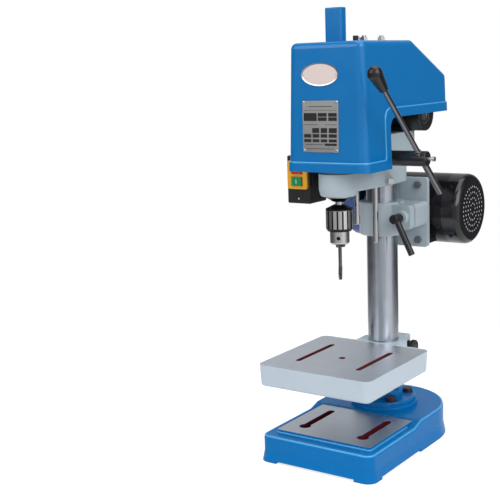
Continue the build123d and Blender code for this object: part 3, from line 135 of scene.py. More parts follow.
# The floor glows a little, so that it looks white and still shows the shadow, but not under the base.
glow_to_camera, glow_in_mirrors = 0.76, 0.42
base_middle_y, base_half_x, base_half_y = -0.115, 0.10, 0.135
bpy.ops.mesh.primitive_circle_add(vertices=96, radius=0.85, fill_type="NGON",
                                  location=(0.0, 0.0, -0.0005))
floor = bpy.context.object
floor.name = "studio_floor"
bpy.ops.object.transform_apply(location=True, rotation=True, scale=True)
material, tree = blank_material("floor_white")
path = node(tree, "LightPath").outputs
seen = math(tree, "MAXIMUM", path["Is Camera Ray"], path["Is Transmission Ray"])
seen = math(tree, "MAXIMUM", seen, path["Is Glossy Ray"])
lit = node(tree, "BsdfDiffuse", Color=(0.86, 0.86, 0.86, 1))
half_lit = node(tree, "BsdfDiffuse", Color=(0.45, 0.45, 0.45, 1))
x, y, z = xyz(tree, object_point(tree))
under_base = math(tree, "MULTIPLY", near(tree, x, 0.0, base_half_x),
                  near(tree, y, base_middle_y, base_half_y))
strength = blend_values(tree, path["Is Glossy Ray"], glow_to_camera, glow_in_mirrors)
strength = math(tree, "MULTIPLY", math(tree, "SUBTRACT", 1.0, under_base), strength)
glow = node(tree, "Emission", Color=white, Strength=strength)
shown = node(tree, "AddShader", i0=half_lit.outputs[0], i1=glow.outputs[0])
mixed = node(tree, "MixShader", i0=seen, i1=lit.outputs[0], i2=shown.outputs[0])
tree.links.new(mixed.outputs[0], node(tree, "OutputMaterial").inputs["Surface"])
floor.data.materials.append(material)

for name, place, aim, size, power in (
        ("front_lamp", (-1.1, -2.1, 1.9), (0.0, -0.1, 0.45), 1.9, 24.0),
        ("right_lamp", (2.1, -1.0, 1.9), (0.0, 0.0, 0.45), 1.9, 38.0),
        ("top_lamp", (0.2, 0.1, 2.6), (0.0, 0.0, 0.3), 2.1, 25.0)):
    bpy.ops.object.light_add(type="AREA", location=place)
    lamp = bpy.context.object
    lamp.name = name
    lamp.data.size = size
    lamp.data.energy = power
    lamp.rotation_euler = (Vector(aim) - Vector(place)).to_track_quat("-Z", "Y").to_euler()

bpy.ops.object.camera_add(location=(0.9585, -1.7739, 0.7290))
camera = bpy.context.object
camera.name = "photo_camera"
camera.data.lens = 74.95
camera.data.sensor_width = 36.0
camera_axes = Matrix(((0.81476, -0.07349, 0.57512),
                      (0.57875, 0.16250, -0.79915),
                      (-0.03473, 0.98397, 0.17494)))
camera.rotation_euler = camera_axes.to_euler()
bpy.context.scene.camera = camera
bpy.context.scene.view_settings.view_transform = "Standard"

# Base casting and column flange
# Cast iron with thick glossy blue enamel, slightly rough where it was not filed before painting.
# The pad is ground bare after painting, and the slots keep their dark red primer.


def shader_group(name, inputs, outputs):
    """A node group, with what comes in and what goes out inside it."""
    group = bpy.data.node_groups.new(name, "ShaderNodeTree")
    for label, kind, start in inputs:
        socket = group.interface.new_socket(label, in_out="INPUT", socket_type="NodeSocket" + kind)
        socket.default_value = start
    for label, kind in outputs:
        group.interface.new_socket(label, in_out="OUTPUT", socket_type="NodeSocket" + kind)
    given = group.nodes.new("NodeGroupInput").outputs
    return group, given, group.nodes.new("NodeGroupOutput").inputs


def put_out(group, made, **results):
    for label, result in results.items():
        group.links.new(result, made[label])


def noise(tree, spot, scale, detail):
    return node(tree, "TexNoise", Vector=spot, Scale=scale, Detail=detail).outputs["Fac"]


def swing(tree, value, amount, middle):
    """A noise that runs from 0 to 1, turned into a swing round a middle value."""
    return math(tree, "MULTIPLY_ADD", math(tree, "SUBTRACT", value, 0.5), amount, middle)


def tint(tree, color, tone):
    return node(tree, "HueSaturation", Value=tone, Color=color).outputs[0]


def relief(tree, strength, distance, height):
    return node(tree, "Bump", Strength=strength, Distance=distance, Height=height).outputs[0]


# Enamel: broad tone drift, orange peel, and fine specks of dust in the gloss.
finish_outputs = [("Color", "Color"), ("Roughness", "Float"), ("Normal", "Vector")]
speck_gray, speck_amount = (0.55, 0.56, 0.56, 1), 0.08
enamel, given, made = shader_group(
    "enamel_coat",
    [("Color", "Color", (0.5, 0.5, 0.5, 1)), ("Drift", "Float", 0.06), ("Peel", "Float", 0.1),
     ("Peel Scale", "Float", 420.0), ("Gloss", "Float", 0.25)],
    finish_outputs)
spot = object_point(enamel)
darkest = math(enamel, "SUBTRACT", 1.0, given["Drift"])
lightest = math(enamel, "ADD", 1.0, given["Drift"])
tone = blend_values(enamel, noise(enamel, spot, 7.0, 3.0), darkest, lightest)
specks = noise(enamel, spot, 900.0, 1.0)
specks = node(enamel, "MapRange", i0=specks, i1=0.70, i2=0.80, i3=0.0, i4=speck_amount).outputs[0]
peel = noise(enamel, spot, given["Peel Scale"], 2.0)
put_out(enamel, made,
        Color=blend_colors(enamel, specks, tint(enamel, given["Color"], tone), speck_gray),
        Roughness=swing(enamel, noise(enamel, spot, 28.0, 4.0), 0.16, given["Gloss"]),
        Normal=relief(enamel, given["Peel"], 0.0006, peel))

# Bare machined steel: fine tool lines along one direction, broad stains, and a finger-worn gloss.
steel, given, made = shader_group(
    "machined_steel",
    [("Color", "Color", (0.6, 0.6, 0.6, 1)), ("Lines", "Vector", (1, 1, 1)),
     ("Depth", "Float", 0.1), ("Gloss", "Float", 0.25)],
    finish_outputs)
spot = object_point(steel)
lines = noise(steel, vector_math(steel, "MULTIPLY", spot, given["Lines"]), 1.0, 3.0)
stain = noise(steel, spot, 22.0, 4.0)
tone = swing(steel, stain, 0.18, swing(steel, lines, 0.22, 1.0))
put_out(steel, made,
        Color=tint(steel, given["Color"], tone),
        Roughness=swing(steel, lines, 0.10, swing(steel, stain, 0.14, given["Gloss"])),
        Normal=relief(steel, given["Depth"], 0.0002, lines))

# A mask that is 1 inside a box given by its middle and its half sizes.
inside_box, given, made = shader_group(
    "inside_box",
    [("Point", "Vector", (0, 0, 0)), ("Middle", "Vector", (0, 0, 0)), ("Half", "Vector", (1, 1, 1))],
    [("Mask", "Float")])
apart = vector_math(inside_box, "SUBTRACT", given["Point"], given["Middle"])
apart = vector_math(inside_box, "ABSOLUTE", apart)
x, y, z = xyz(inside_box, vector_math(inside_box, "SUBTRACT", given["Half"], apart))
least = math(inside_box, "MINIMUM", math(inside_box, "MINIMUM", x, y), z)
put_out(inside_box, made, Mask=math(inside_box, "GREATER_THAN", least, 0.0))


def placed_group(tree, group, **inputs):
    made = tree.nodes.new("ShaderNodeGroup")
    made.node_tree = group
    feed(tree, made, inputs)
    return made.outputs


def box_mask(tree, point, middle, half):
    return placed_group(tree, inside_box, Point=point, Middle=middle, Half=half)["Mask"]


def mirrored_point(tree):
    """Object coordinates with both halves of the machine folded onto +X."""
    x, y, z = xyz(tree, object_point(tree))
    return node(tree, "CombineXYZ", i0=math(tree, "ABSOLUTE", x), i1=y, i2=z).outputs[0]


def upward(tree):
    """How far the surface faces up, from -1 to 1."""
    return xyz(tree, node(tree, "NewGeometry").outputs["Normal"])[2]


def two_finishes(tree, mask, first, second):
    normal = node(tree, "Mix", {"data_type": "VECTOR"}, i0=mask,
                  i4=first["Normal"], i5=second["Normal"]).outputs[1]
    return {"Color": blend_colors(tree, mask, first["Color"], second["Color"]),
            "Roughness": blend_values(tree, mask, first["Roughness"], second["Roughness"]),
            "Normal": normal}


def red_primer(tree):
    return placed_group(tree, enamel, Color=(0.120, 0.008, 0.014, 1), Drift=0.12, Peel=0.5,
                        Peel_Scale=500.0, Gloss=0.6)


def lay_surface(tree, finish, metallic=0.0, **fixed):
    """A principled surface fed by a finish, with fixed values on its own sockets."""
    surface = node(tree, "BsdfPrincipled", Base_Color=finish["Color"],
                   Roughness=finish["Roughness"], Normal=finish["Normal"],
                   Metallic=metallic, **fixed)
    tree.links.new(surface.outputs[0], node(tree, "OutputMaterial").inputs["Surface"])


def coat(material, *names):
    for name in names:
        for place in cad[name].material_slots:
            place.material = material


def enamelled(name, color, drift, peel, scale, gloss, shine=0.5):
    material, tree = blank_material(name)
    finish = placed_group(tree, enamel, Color=color, Drift=drift, Peel=peel, Peel_Scale=scale,
                          Gloss=gloss)
    lay_surface(tree, finish, Specular_IOR_Level=shine)
    return material


base_blue = (0.0006, 0.150, 0.425, 1)
material, tree = blank_material("blue_base_enamel")
folded, up = mirrored_point(tree), upward(tree)
paint = placed_group(tree, enamel, Color=base_blue, Drift=0.07, Peel=0.30, Peel_Scale=170.0,
                     Gloss=0.26)
ground = placed_group(tree, steel, Color=(0.58, 0.62, 0.66, 1), Lines=(35.0, 1500.0, 35.0),
                      Depth=0.25, Gloss=0.38)
pad = box_mask(tree, folded, (0.0, -0.1540, 0.0550), (0.0993, 0.0843, 0.0006))
pad = math(tree, "MULTIPLY", pad, math(tree, "GREATER_THAN", up, 0.9))
slot = box_mask(tree, folded, (0.062, -0.150, 0.0445), (0.0125, 0.062, 0.0100))
slot = math(tree, "MULTIPLY", slot, math(tree, "LESS_THAN", up, 0.5))
finish = two_finishes(tree, slot, two_finishes(tree, pad, paint, ground), red_primer(tree))
lay_surface(tree, finish, metallic=pad, Specular_IOR_Level=0.12)
coat(material, "base_casting")
coat(enamelled("blue_flange_enamel", base_blue, 0.07, 0.4, 200.0, 0.26, 0.25), "column_flange")

# Cast beads on the base
# A round bead runs along the upper rim, over the ramp and round the back, and a smaller one fills
# the foot of the pad. Both are cast on and shinier; their lighter blue is a painted highlight.


def finish_piece(name, material, body, angle=30):
    """Puts the piece's place into its mesh, gives it its finish and lets it ride on a body."""
    piece = bpy.context.object
    piece.name = name
    piece.data.name = name
    bpy.ops.object.transform_apply(location=True, rotation=True, scale=True)
    bpy.ops.object.shade_smooth_by_angle(angle=radians(angle))
    piece.data.materials.clear()
    piece.data.materials.append(material)
    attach(piece, body)
    bpy.ops.object.select_all(action="DESELECT")
    return piece


def round_corner(middle, radius, start, end, z, steps=8):
    """Points on an arc between two angles in degrees, at one height."""
    turns = [radians(start + (end - start) * k / steps) for k in range(steps + 1)]
    return [(middle[0] + radius * cos(a), middle[1] + radius * sin(a), z) for a in turns]


def mirrored_way(half):
    """A way over the right half, carried on over the left half."""
    return half + [(-x, y, z) for x, y, z in reversed(half)]


def bead(name, way, radius, material, closed=True):
    """A round bar along a way, made from a curve with thickness."""
    bpy.ops.curve.primitive_nurbs_path_add()
    bar = bpy.context.object
    bar.data.splines.clear()
    line = bar.data.splines.new("POLY")
    line.points.add(len(way) - 1)
    for point, place in zip(line.points, way):
        point.co = (*place, 1.0)
    line.use_cyclic_u = closed
    bar.data.bevel_depth = radius
    bar.data.bevel_resolution = 3
    bpy.ops.object.convert(target="MESH")
    finish_piece(name, material, "stand", 60)


# A lighter blue than the base: a painted highlight along the beads.
highlight_blue = enamelled("blue_rim_painted_highlight", (0.050, 0.335, 0.670, 1), 0.08, 0.15, 260.0, 0.20, 0.6)
rim_half, rim_low, rim_high, pad_foot = 0.1135, 0.0482, 0.0562, 0.0498
rim = round_corner((0.1005, -0.250), 0.0130, -90, 0, rim_low)
rim += [(rim_half, -0.094, rim_low), (rim_half, -0.068, rim_high)]
rim += round_corner((0.0, 0.0), rim_half, 0, 88, rim_high, 16)
bead("base_rim_bead", mirrored_way(rim), 0.0022, highlight_blue)
foot = [(0.0998, -0.098, pad_foot)]
foot += round_corner((0.0940, -0.2330), 0.0058, 0, -90, pad_foot)
bead("pad_foot_bead", mirrored_way(foot), 0.0020, highlight_blue, closed=False)

# Flange bolts
# Four hexagon bolts hold the flange on the base, each on a plain washer.
# Bolts and washers are steel in a dark red primer.


def select_only(kind, test):
    """Opens the piece with just those of its edges or faces selected that pass a test."""
    bpy.ops.object.mode_set(mode="EDIT")
    bpy.ops.mesh.select_mode(type=kind)
    bpy.ops.mesh.select_all(action="DESELECT")
    bpy.ops.object.mode_set(mode="OBJECT")
    mesh = bpy.context.object.data
    for part in mesh.edges if kind == "EDGE" else mesh.polygons:
        part.select = test(part)
    bpy.ops.object.mode_set(mode="EDIT")


def edge_ends(edge):
    corners = bpy.context.object.data.vertices
    return [corners[k].co for k in edge.vertices]


def bevel_edges(width, segments, where):
    """Bevels those of the piece's edges whose two ends pass a test."""
    select_only("EDGE", lambda edge: where(*edge_ends(edge)))
    bpy.ops.mesh.bevel(offset=width, segments=segments, affect="EDGES")
    bpy.ops.object.mode_set(mode="OBJECT")


def ring(name, inner, outer, low, high, material, body, x, y, along="Z", bevel=0.0003):
    """A flat ring: a cylinder whose ends are inset and bridged, then turned along an axis."""
    bpy.ops.mesh.primitive_cylinder_add(vertices=48, radius=outer, depth=high - low,
                                        end_fill_type="NGON")
    select_only("FACE", lambda face: abs(face.normal.z) > 0.9)
    bpy.ops.mesh.inset(thickness=outer - inner)
    bpy.ops.mesh.bridge_edge_loops()
    bpy.ops.mesh.select_all(action="SELECT")
    bpy.ops.mesh.normals_make_consistent(inside=False)
    bpy.ops.object.mode_set(mode="OBJECT")
    bevel_edges(bevel, 2, lambda a, b: abs(a.z - b.z) < 1e-7 and abs(a.length - b.length) < 1e-6)
    middle = (low + high) / 2
    piece = bpy.context.object
    piece.rotation_euler, piece.location = {
        "X": ((0, pi / 2, 0), (middle, x, y)),
        "Y": ((pi / 2, 0, 0), (x, middle, y)),
        "Z": ((0, 0, 0), (x, y, middle))}[along]
    finish_piece(name, material, body)


bolt_primer = enamelled("bolt_primer", (0.034, 0.014, 0.019, 1), 0.2, 0.6, 600.0, 0.45)
coat(bolt_primer, "flange_bolts")
bolt_circle = 0.0485
for k in range(4):
    angle = radians(45 + 90 * k)
    ring("flange_washer_%d" % (k + 1), 0.0088, 0.0113, 0.0731, 0.0747, bolt_primer, "stand",
         x=bolt_circle * cos(angle), y=bolt_circle * sin(angle))

# Column
# A hollow bar, ground, hard-chromed and polished, that carries the table, the bracket and the head.
# Its finish draws out what it mirrors along its length.


def machined(name, color, lines, depth, gloss, **fixed):
    material, tree = blank_material(name)
    finish = placed_group(tree, steel, Color=color, Lines=lines, Depth=depth, Gloss=gloss)
    lay_surface(tree, finish, metallic=1.0, **fixed)
    return material


column_chrome = machined("polished_column", (0.440, 0.468, 0.518, 1), (900.0, 900.0, 5.0), 0.04,
                         0.215, Anisotropic=0.9, Anisotropic_Rotation=0.25)
coat(column_chrome, "column")

# Work table
# A gray painted casting with a ground top, two through slots and a centre hole.
# Primer shows on the walls of the slots and of the hole.
spindle_y = -0.161
material, tree = blank_material("table_casting")
folded, up = mirrored_point(tree), upward(tree)
paint = placed_group(tree, enamel, Color=(0.46, 0.54, 0.61, 1), Drift=0.05, Peel=0.3,
                     Peel_Scale=220.0, Gloss=0.36)
ground = placed_group(tree, steel, Color=(0.62, 0.66, 0.71, 1), Lines=(1400.0, 30.0, 30.0),
                      Depth=0.2, Gloss=0.42)
top = box_mask(tree, folded, (0.0, -0.16, 0.1870), (0.2, 0.12, 0.0006))
top = math(tree, "MULTIPLY", top, math(tree, "GREATER_THAN", up, 0.9))
slot = box_mask(tree, folded, (0.0635, -0.1515, 0.179), (0.0062, 0.0665, 0.0082))
hole = box_mask(tree, folded, (0.0, spindle_y, 0.179), (0.0072, 0.0072, 0.0082))
upright = math(tree, "LESS_THAN", math(tree, "ABSOLUTE", up), 0.5)
walls = math(tree, "MULTIPLY", math(tree, "MAXIMUM", slot, hole), upright)
finish = two_finishes(tree, walls, two_finishes(tree, top, paint, ground), red_primer(tree))
lay_surface(tree, finish, metallic=top, Specular_IOR_Level=0.35)
coat(material, "work_table")

# Clamp screws, studs and handles
# Blackened screws, and levers moulded in black plastic over steel hubs.
# The table's lever has a flange and a thick cap on its hub.
grain, given, made = shader_group(
    "moulded_grain",
    [("Color", "Color", (0.02, 0.02, 0.02, 1)), ("Grain", "Float", 0.2),
     ("Grain Scale", "Float", 1400.0), ("Gloss", "Float", 0.4)],
    finish_outputs)
spot = object_point(grain)
cells = node(grain, "TexVoronoi", Vector=spot, Scale=given["Grain Scale"]).outputs["Distance"]
rub = noise(grain, spot, 40.0, 4.0)
put_out(grain, made,
        Color=tint(grain, given["Color"], swing(grain, rub, 0.35, 1.0)),
        Roughness=swing(grain, rub, 0.2, given["Gloss"]),
        Normal=relief(grain, given["Grain"], 0.0003, cells))


def plastic(name, color, grain_depth, gloss, scale=1400.0, shine=0.4):
    material, tree = blank_material(name)
    finish = placed_group(tree, grain, Color=color, Grain=grain_depth, Grain_Scale=scale,
                          Gloss=gloss)
    lay_surface(tree, finish, Specular_IOR_Level=shine)
    return material


zinc = machined("zinc_plate", (0.58, 0.57, 0.54, 1), (260.0, 260.0, 260.0), 0.15, 0.32)
coat(zinc, "lever_set_screw")
oxide = machined("black_oxide", (0.055, 0.055, 0.058, 1), (300.0, 300.0, 300.0), 0.1, 0.34)
coat(oxide, "table_clamp_screw", "bracket_clamp_stud")
handle_black = plastic("handle_black", (0.016, 0.016, 0.017, 1), 0.12, 0.34)
coat(handle_black, "table_clamp_handle", "bracket_clamp_handle")
table_screw_y, table_screw_z = 0.051, 0.1615
for name, outer, low, high in (("table_handle_flange", 0.0125, 0.0268, 0.0300),
                               ("table_handle_cap", 0.0150, 0.0362, 0.0440)):
    ring(name, 0.0101, outer, low, high, handle_black, "table_handle",
         table_screw_y, table_screw_z, "X", bevel=0.0012)

# Head casting, lock screw and rods
# Gray enamel over cast iron, also on the motor's bracket. The nose holds the quill, two ground rods
# hang beside it, and a zinc-plated screw locks it.
gray_enamel = enamelled("gray_enamel", (0.38, 0.45, 0.49, 1), 0.05, 0.3, 260.0, 0.32)
coat(gray_enamel, "head_casting", "motor_bracket")
rod_steel = machined("ground_rod", (0.60, 0.60, 0.60, 1), (40.0, 40.0, 1800.0), 0.12, 0.22)
coat(rod_steel, "guide_rod", "depth_rod", "depth_arm", "spindle", "drive_sleeve", "quill")
coat(zinc, "head_lock_screw")

# Hood, spindle cap and belt guard
# Pressed and welded steel sheet in glossy blue enamel. The hood has a lip along its lower edge, and
# a bead of filler runs round the lip's upper edge: front, arch of each side and back.
hood_blue = enamelled("hood_enamel", (0.0004, 0.146, 0.405, 1), 0.035, 0.10, 330.0, 0.19, 0.45)
coat(hood_blue, "hood", "spindle_cap")
# The guard's blue is darker than the hood's: a painted shade of the same enamel.
coat(enamelled("guard_enamel_painted_shade", (0.004, 0.058, 0.240, 1), 0.06, 0.2, 300.0, 0.3), "belt_guard")
hood_low, hood_rise = 0.537, 0.227
side_lean, front_lean = 0.007, 0.003


def wall_half(z):
    """Half width of the hood's side walls at a height, with room for half a bead."""
    return 0.0826 - side_lean * (z - hood_low) / hood_rise


lip_z, corner = 0.5538, 0.0150
arch_y, arch_z, arch_radius, arch_top = -0.1110, 0.6240, 0.0208, 0.6448
lip = round_corner((wall_half(lip_z) - corner, -0.1894), corner, -90, 0, lip_z)
side = [(-0.1380, lip_z), (-0.1335, 0.5550), (-0.1318, 0.5600)]
side += [(y, z) for y, z, _ in round_corner((arch_y, arch_z), arch_radius, 180, 90, 0.0, 9)]
lip += [(wall_half(z), y, z) for y, z in side]
lip += round_corner((wall_half(arch_top) - corner, 0.1172), corner, 0, 90, arch_top)
# The lip bead takes the same lighter blue, a painted highlight along the lip's upper edge.
bead("hood_lip_bead", mirrored_way(lip), 0.0016, highlight_blue)

# Nuts and knob on the hood
# Four zinc-plated nuts with washers, on studs that hold the hood, and one small knob between them,
# moulded in black plastic.
material, tree = blank_material("hood_hardware")
knob = box_mask(tree, object_point(tree), (0.0, -0.091, 0.771), (0.007, 0.007, 0.02))
plate = placed_group(tree, steel, Color=(0.60, 0.59, 0.56, 1), Lines=(300.0, 300.0, 300.0),
                     Depth=0.15, Gloss=0.3)
black = placed_group(tree, grain, Color=(0.014, 0.014, 0.014, 1), Grain=0.1, Grain_Scale=1600.0,
                     Gloss=0.35)
finish = two_finishes(tree, knob, plate, black)
lay_surface(tree, finish, metallic=math(tree, "SUBTRACT", 1.0, knob))
coat(material, "hood_fasteners")
nuts = ((-0.025, -0.105), (0.025, -0.105), (-0.025, -0.040), (0.025, -0.040))
for k, (x, y) in enumerate(nuts):
    ring("hood_washer_%d" % (k + 1), 0.0043, 0.0085, 0.7641, 0.7654, zinc, "stand",
         x, y)

# Oval plate on the hood
# A bare pressed plate with a raised bright rim, held by two rivets.
# It lies on the hood's front, which leans back a little.
hood_lean = atan2(front_lean, hood_rise)
plate_face = enamelled("plate_face", (0.66, 0.56, 0.53, 1), 0.05, 0.08, 700.0, 0.38)
bright_rim = machined("bright_rim", (0.66, 0.67, 0.69, 1), (300.0, 300.0, 300.0), 0.05, 0.24)
oval_x, oval_z, oval_half_x, oval_half_z = -0.0096, 0.7085, 0.0378, 0.0202


def hood_front(z):
    """Y of the hood's front wall at a height."""
    return -0.204 + front_lean * (z - hood_low) / hood_rise


def lay_on_hood(piece, x, z, out):
    """Turns a flat piece, made lying face up, onto the hood's front wall."""
    piece.rotation_euler = (pi / 2 - hood_lean, 0, 0)
    piece.location = (x, hood_front(z) - out, z)


def put_scale(size):
    """Scales the new primitive and puts the scale into its mesh."""
    piece = bpy.context.object
    piece.scale = size
    bpy.ops.object.transform_apply(location=False, rotation=False, scale=True)
    return piece


bpy.ops.mesh.primitive_cylinder_add(vertices=96, radius=1.0, depth=0.0012)
piece = put_scale((oval_half_x, oval_half_z, 1.0))
select_only("FACE", lambda face: face.normal.z > 0.9)
bpy.ops.mesh.inset(thickness=0.0006)
bpy.ops.mesh.inset(thickness=0.0016)
bpy.ops.transform.translate(value=(0, 0, -0.0007))
bpy.ops.mesh.inset(thickness=0.0004)
bpy.ops.object.mode_set(mode="OBJECT")
lay_on_hood(piece, oval_x, oval_z, 0.0007)
badge = finish_piece("oval_plate", bright_rim, "stand")
badge.data.materials.append(plate_face)
for face in badge.data.polygons:
    middle = face.center
    across = ((middle.x - oval_x) / oval_half_x) ** 2 + ((middle.z - oval_z) / oval_half_z) ** 2
    face.material_index = 1 if across < 0.80 and face.normal.y < -0.9 else 0


def round_head(name, radius, height, x, z, out, material):
    """A low domed head on the hood's front."""
    bpy.ops.mesh.primitive_cylinder_add(vertices=32, radius=radius, depth=height)
    bevel_edges(height * 0.6, 3, lambda a, b: min(a.z, b.z) > 0)
    lay_on_hood(bpy.context.object, x, z, out)
    finish_piece(name, material, "stand", 60)


for k, x in enumerate((-0.0430, 0.0238)):
    round_head("oval_plate_rivet_%d" % (k + 1), 0.0013, 0.0012, x, 0.7080, 0.0012, zinc)

# Data plate on the hood
# An aluminium plate with rows of plain black cells and a few black lines, laid on as thin blocks,
# held by four bright screws.


def block(size, place=(0.0, 0.0, 0.0)):
    bpy.ops.mesh.primitive_cube_add(size=1.0, location=place)
    return put_scale(size)


plate_x = -0.0097
piece = block((0.0733, 0.0903, 0.0009))
bevel_edges(0.0012, 3, lambda a, b: abs(a.z - b.z) > 1e-6)
bevel_edges(0.0002, 1, lambda a, b: min(a.z, b.z) > 0)
lay_on_hood(piece, plate_x, 0.6180, 0.0006)
plate_metal = machined("data_plate_metal", (0.50, 0.50, 0.49, 1), (1500.0, 12.0, 12.0), 0.1, 0.40)
finish_piece("data_plate", plate_metal, "stand")
cell_black = plastic("cell_ink", (0.012, 0.012, 0.013, 1), 0.05, 0.45, 2500.0)
three_wide = ((-0.0193, 0.0144), (-0.0023, 0.0131), (0.0157, 0.0161))
four_wide = ((-0.0361, 0.0145), (-0.0189, 0.0134), (-0.0024, 0.0132), (0.0155, 0.0161))
cells = [(-0.0303, 0.6347, 0.0268, 0.0141)]
for z in (0.6385, 0.6310):
    cells += [(-0.0054, z, 0.0182, 0.0064), (0.0155, z, 0.0170, 0.0064)]
cells += [(x, 0.6111, width, 0.0087) for x, width in three_wide]
for z, height in ((0.6017, 0.0061), (0.5932, 0.0051)):
    cells += [(x, z, width, height) for x, width in four_wide]
cells += [(0.0111, 0.5864, 0.0244, 0.0040), (plate_x, 0.6530, 0.0480, 0.0011),
          (plate_x, 0.6463, 0.0660, 0.0006), (-0.0290, 0.6212, 0.0280, 0.0008),
          (0.0110, 0.6212, 0.0240, 0.0008), (-0.0225, 0.5864, 0.0370, 0.0008),
          (plate_x, 0.5790, 0.0560, 0.0009)]
for k, (x, z, width, height) in enumerate(cells):
    piece = block((width, height, 0.0003))
    bevel_edges(min(0.0004, height * 0.3), 2, lambda a, b: abs(a.z - b.z) > 1e-6)
    lay_on_hood(piece, x, z, 0.00118)
    finish_piece("data_cell_%02d" % (k + 1), cell_black, "stand")
screws = ((-0.0434, 0.6602), (0.0240, 0.6602), (-0.0434, 0.5758), (0.0240, 0.5758))
for k, (x, z) in enumerate(screws):
    round_head("data_plate_screw_%d" % (k + 1), 0.0022, 0.0014, x, z, 0.0017, bright_rim)

# Quill cap and chuck
# The cap is blackened steel. The chuck is turned and hardened steel with three jaws; its ribs are
# bright, and the gaps between them and its two bevelled rims are dark.
cap_steel = machined("blackened_cap", (0.11, 0.105, 0.11, 1), (60.0, 60.0, 1200.0), 0.1, 0.24)
coat(cap_steel, "quill_cap")


def from_spindle(tree):
    """Distance from the spindle's line, and height."""
    x, y, z = xyz(tree, object_point(tree))
    across = math(tree, "SUBTRACT", y, spindle_y)
    square = math(tree, "ADD", math(tree, "MULTIPLY", x, x), math(tree, "MULTIPLY", across, across))
    return math(tree, "SQRT", square), z


def dark_steel(tree):
    return placed_group(tree, steel, Color=(0.035, 0.035, 0.036, 1), Lines=(400.0, 400.0, 400.0),
                        Depth=0.15, Gloss=0.38)


rib_root, rib_low, rib_high = 0.0240, 0.4325, 0.4655
material, tree = blank_material("chuck_ribs")
radius, height = from_spindle(tree)
bright = placed_group(tree, steel, Color=(0.66, 0.65, 0.63, 1), Lines=(60.0, 60.0, 1500.0),
                      Depth=0.1, Gloss=0.24)
rib = math(tree, "MULTIPLY", math(tree, "GREATER_THAN", height, rib_low),
           math(tree, "LESS_THAN", height, rib_high))
rib = math(tree, "MULTIPLY", math(tree, "GREATER_THAN", radius, rib_root), rib)
lay_surface(tree, two_finishes(tree, rib, dark_steel(tree), bright), metallic=1.0)
coat(material, "chuck_sleeve")

nose_top, nose_bore = 0.428, 0.0168
material, tree = blank_material("chuck_nose")
radius, height = from_spindle(tree)
bright = placed_group(tree, steel, Color=(0.62, 0.61, 0.59, 1), Lines=(60.0, 60.0, 1500.0),
                      Depth=0.15, Gloss=0.26)
inner = math(tree, "MAXIMUM", math(tree, "GREATER_THAN", height, nose_top),
             math(tree, "LESS_THAN", radius, nose_bore))
lay_surface(tree, two_finishes(tree, inner, bright, dark_steel(tree)), metallic=1.0)
coat(material, "chuck_body")
tool_steel = machined("tool_steel", (0.12, 0.12, 0.12, 1), (80.0, 80.0, 1600.0), 0.15, 0.30)
coat(tool_steel, "chuck_jaw_1", "chuck_jaw_2", "chuck_jaw_3")

# Tap
# A machine tap of hardened steel: a plain shank, and a thread cut through by three winding flutes.
# The first turns of the thread are ground away towards the point.
thread_radius, thread_length, thread_z = 0.004, 0.026, 0.349
pitch, thread_depth = 0.00125, 0.00065
point_length, point_taper = 0.006, 0.0011
flute_depth, flute_winding, flute_end = 0.0012, 60.0, 0.003
bpy.ops.mesh.primitive_cylinder_add(vertices=72, radius=thread_radius, depth=thread_length,
                                    location=(0.0, spindle_y, thread_z))
thread = bpy.context.object


def runs_along(edge):
    low, high = edge_ends(edge)
    return abs(low.z - high.z) > 0.01


select_only("EDGE", runs_along)
bpy.ops.mesh.subdivide(number_cuts=125)
bpy.ops.object.mode_set(mode="OBJECT")
for corner in thread.data.vertices:
    around = atan2(corner.co.y, corner.co.x)
    along = corner.co.z + thread_length / 2
    turns = along / pitch - around / (2 * pi)
    crest = abs(2 * (turns % 1.0) - 1)
    past_flute = (around + along * flute_winding) % (2 * pi / 3)
    flute = max(0.0, cos(1.5 * past_flute - pi / 2) - 0.70) / 0.30
    radius = thread_radius - thread_depth * crest
    radius -= point_taper * max(0.0, 1 - along / point_length)
    radius -= flute_depth * min(1.0, 2.2 * flute) * min(1.0, (thread_length - along) / flute_end)
    corner.co.x = radius * cos(around)
    corner.co.y = radius * sin(around)
bpy.ops.mesh.primitive_cylinder_add(vertices=48, radius=0.0032, depth=0.066,
                                    location=(0.0, spindle_y, 0.395))
bevel_edges(0.0004, 2, lambda a, b: abs(a.z - b.z) < 1e-6)
bpy.ops.object.select_all(action="DESELECT")
thread.select_set(True)
bpy.context.object.select_set(True)
bpy.ops.object.join()
tap_steel = machined("tap_steel", (0.13, 0.127, 0.125, 1), (60.0, 60.0, 1800.0), 0.2, 0.28)
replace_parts(finish_piece("threaded_tap", tap_steel, "spindle_unit"), "tap")

# Feed lever
# A polished bar with a black ball-ended grip, through a hub in black enamel.
# The cup of the return spring and the switch's bracket have the same black enamel.
black_enamel = enamelled("black_enamel", (0.012, 0.012, 0.013, 1), 0.15, 0.2, 320.0, 0.28)
coat(black_enamel, "lever_hub", "switch_bracket", "return_spring_cup")
lever_steel = machined("lever_steel", (0.21, 0.195, 0.20, 1), (200.0, 200.0, 200.0), 0.08, 0.22)
coat(lever_steel, "lever_rod")
coat(plastic("grip_black", (0.012, 0.011, 0.011, 1), 0.04, 0.20, 900.0), "lever_knob")

# Motor
# Black enamel on the cast frame and end shield, and a glossier coat on the pressed fan cowl.
# Gray painted bolts hold the motor on its plate, and a pale plastic fan sits under the cowl.
motor_ink = (0.007, 0.006, 0.008, 1)
motor_black = enamelled("motor_enamel", motor_ink, 0.2, 0.18, 260.0, 0.17, 0.20)
coat(motor_black, "motor_frame", "motor_end_shield")
coat(enamelled("cowl_enamel", motor_ink, 0.2, 0.14, 260.0, 0.15, 0.55), "fan_cowl")
coat(enamelled("bolt_gray", (0.10, 0.115, 0.125, 1), 0.12, 0.4, 400.0, 0.4), "motor_bolts")
coat(plastic("fan_plastic", (0.42, 0.42, 0.42, 1), 0.1, 0.45), "motor_fan")
coat(rod_steel, "motor_shaft")
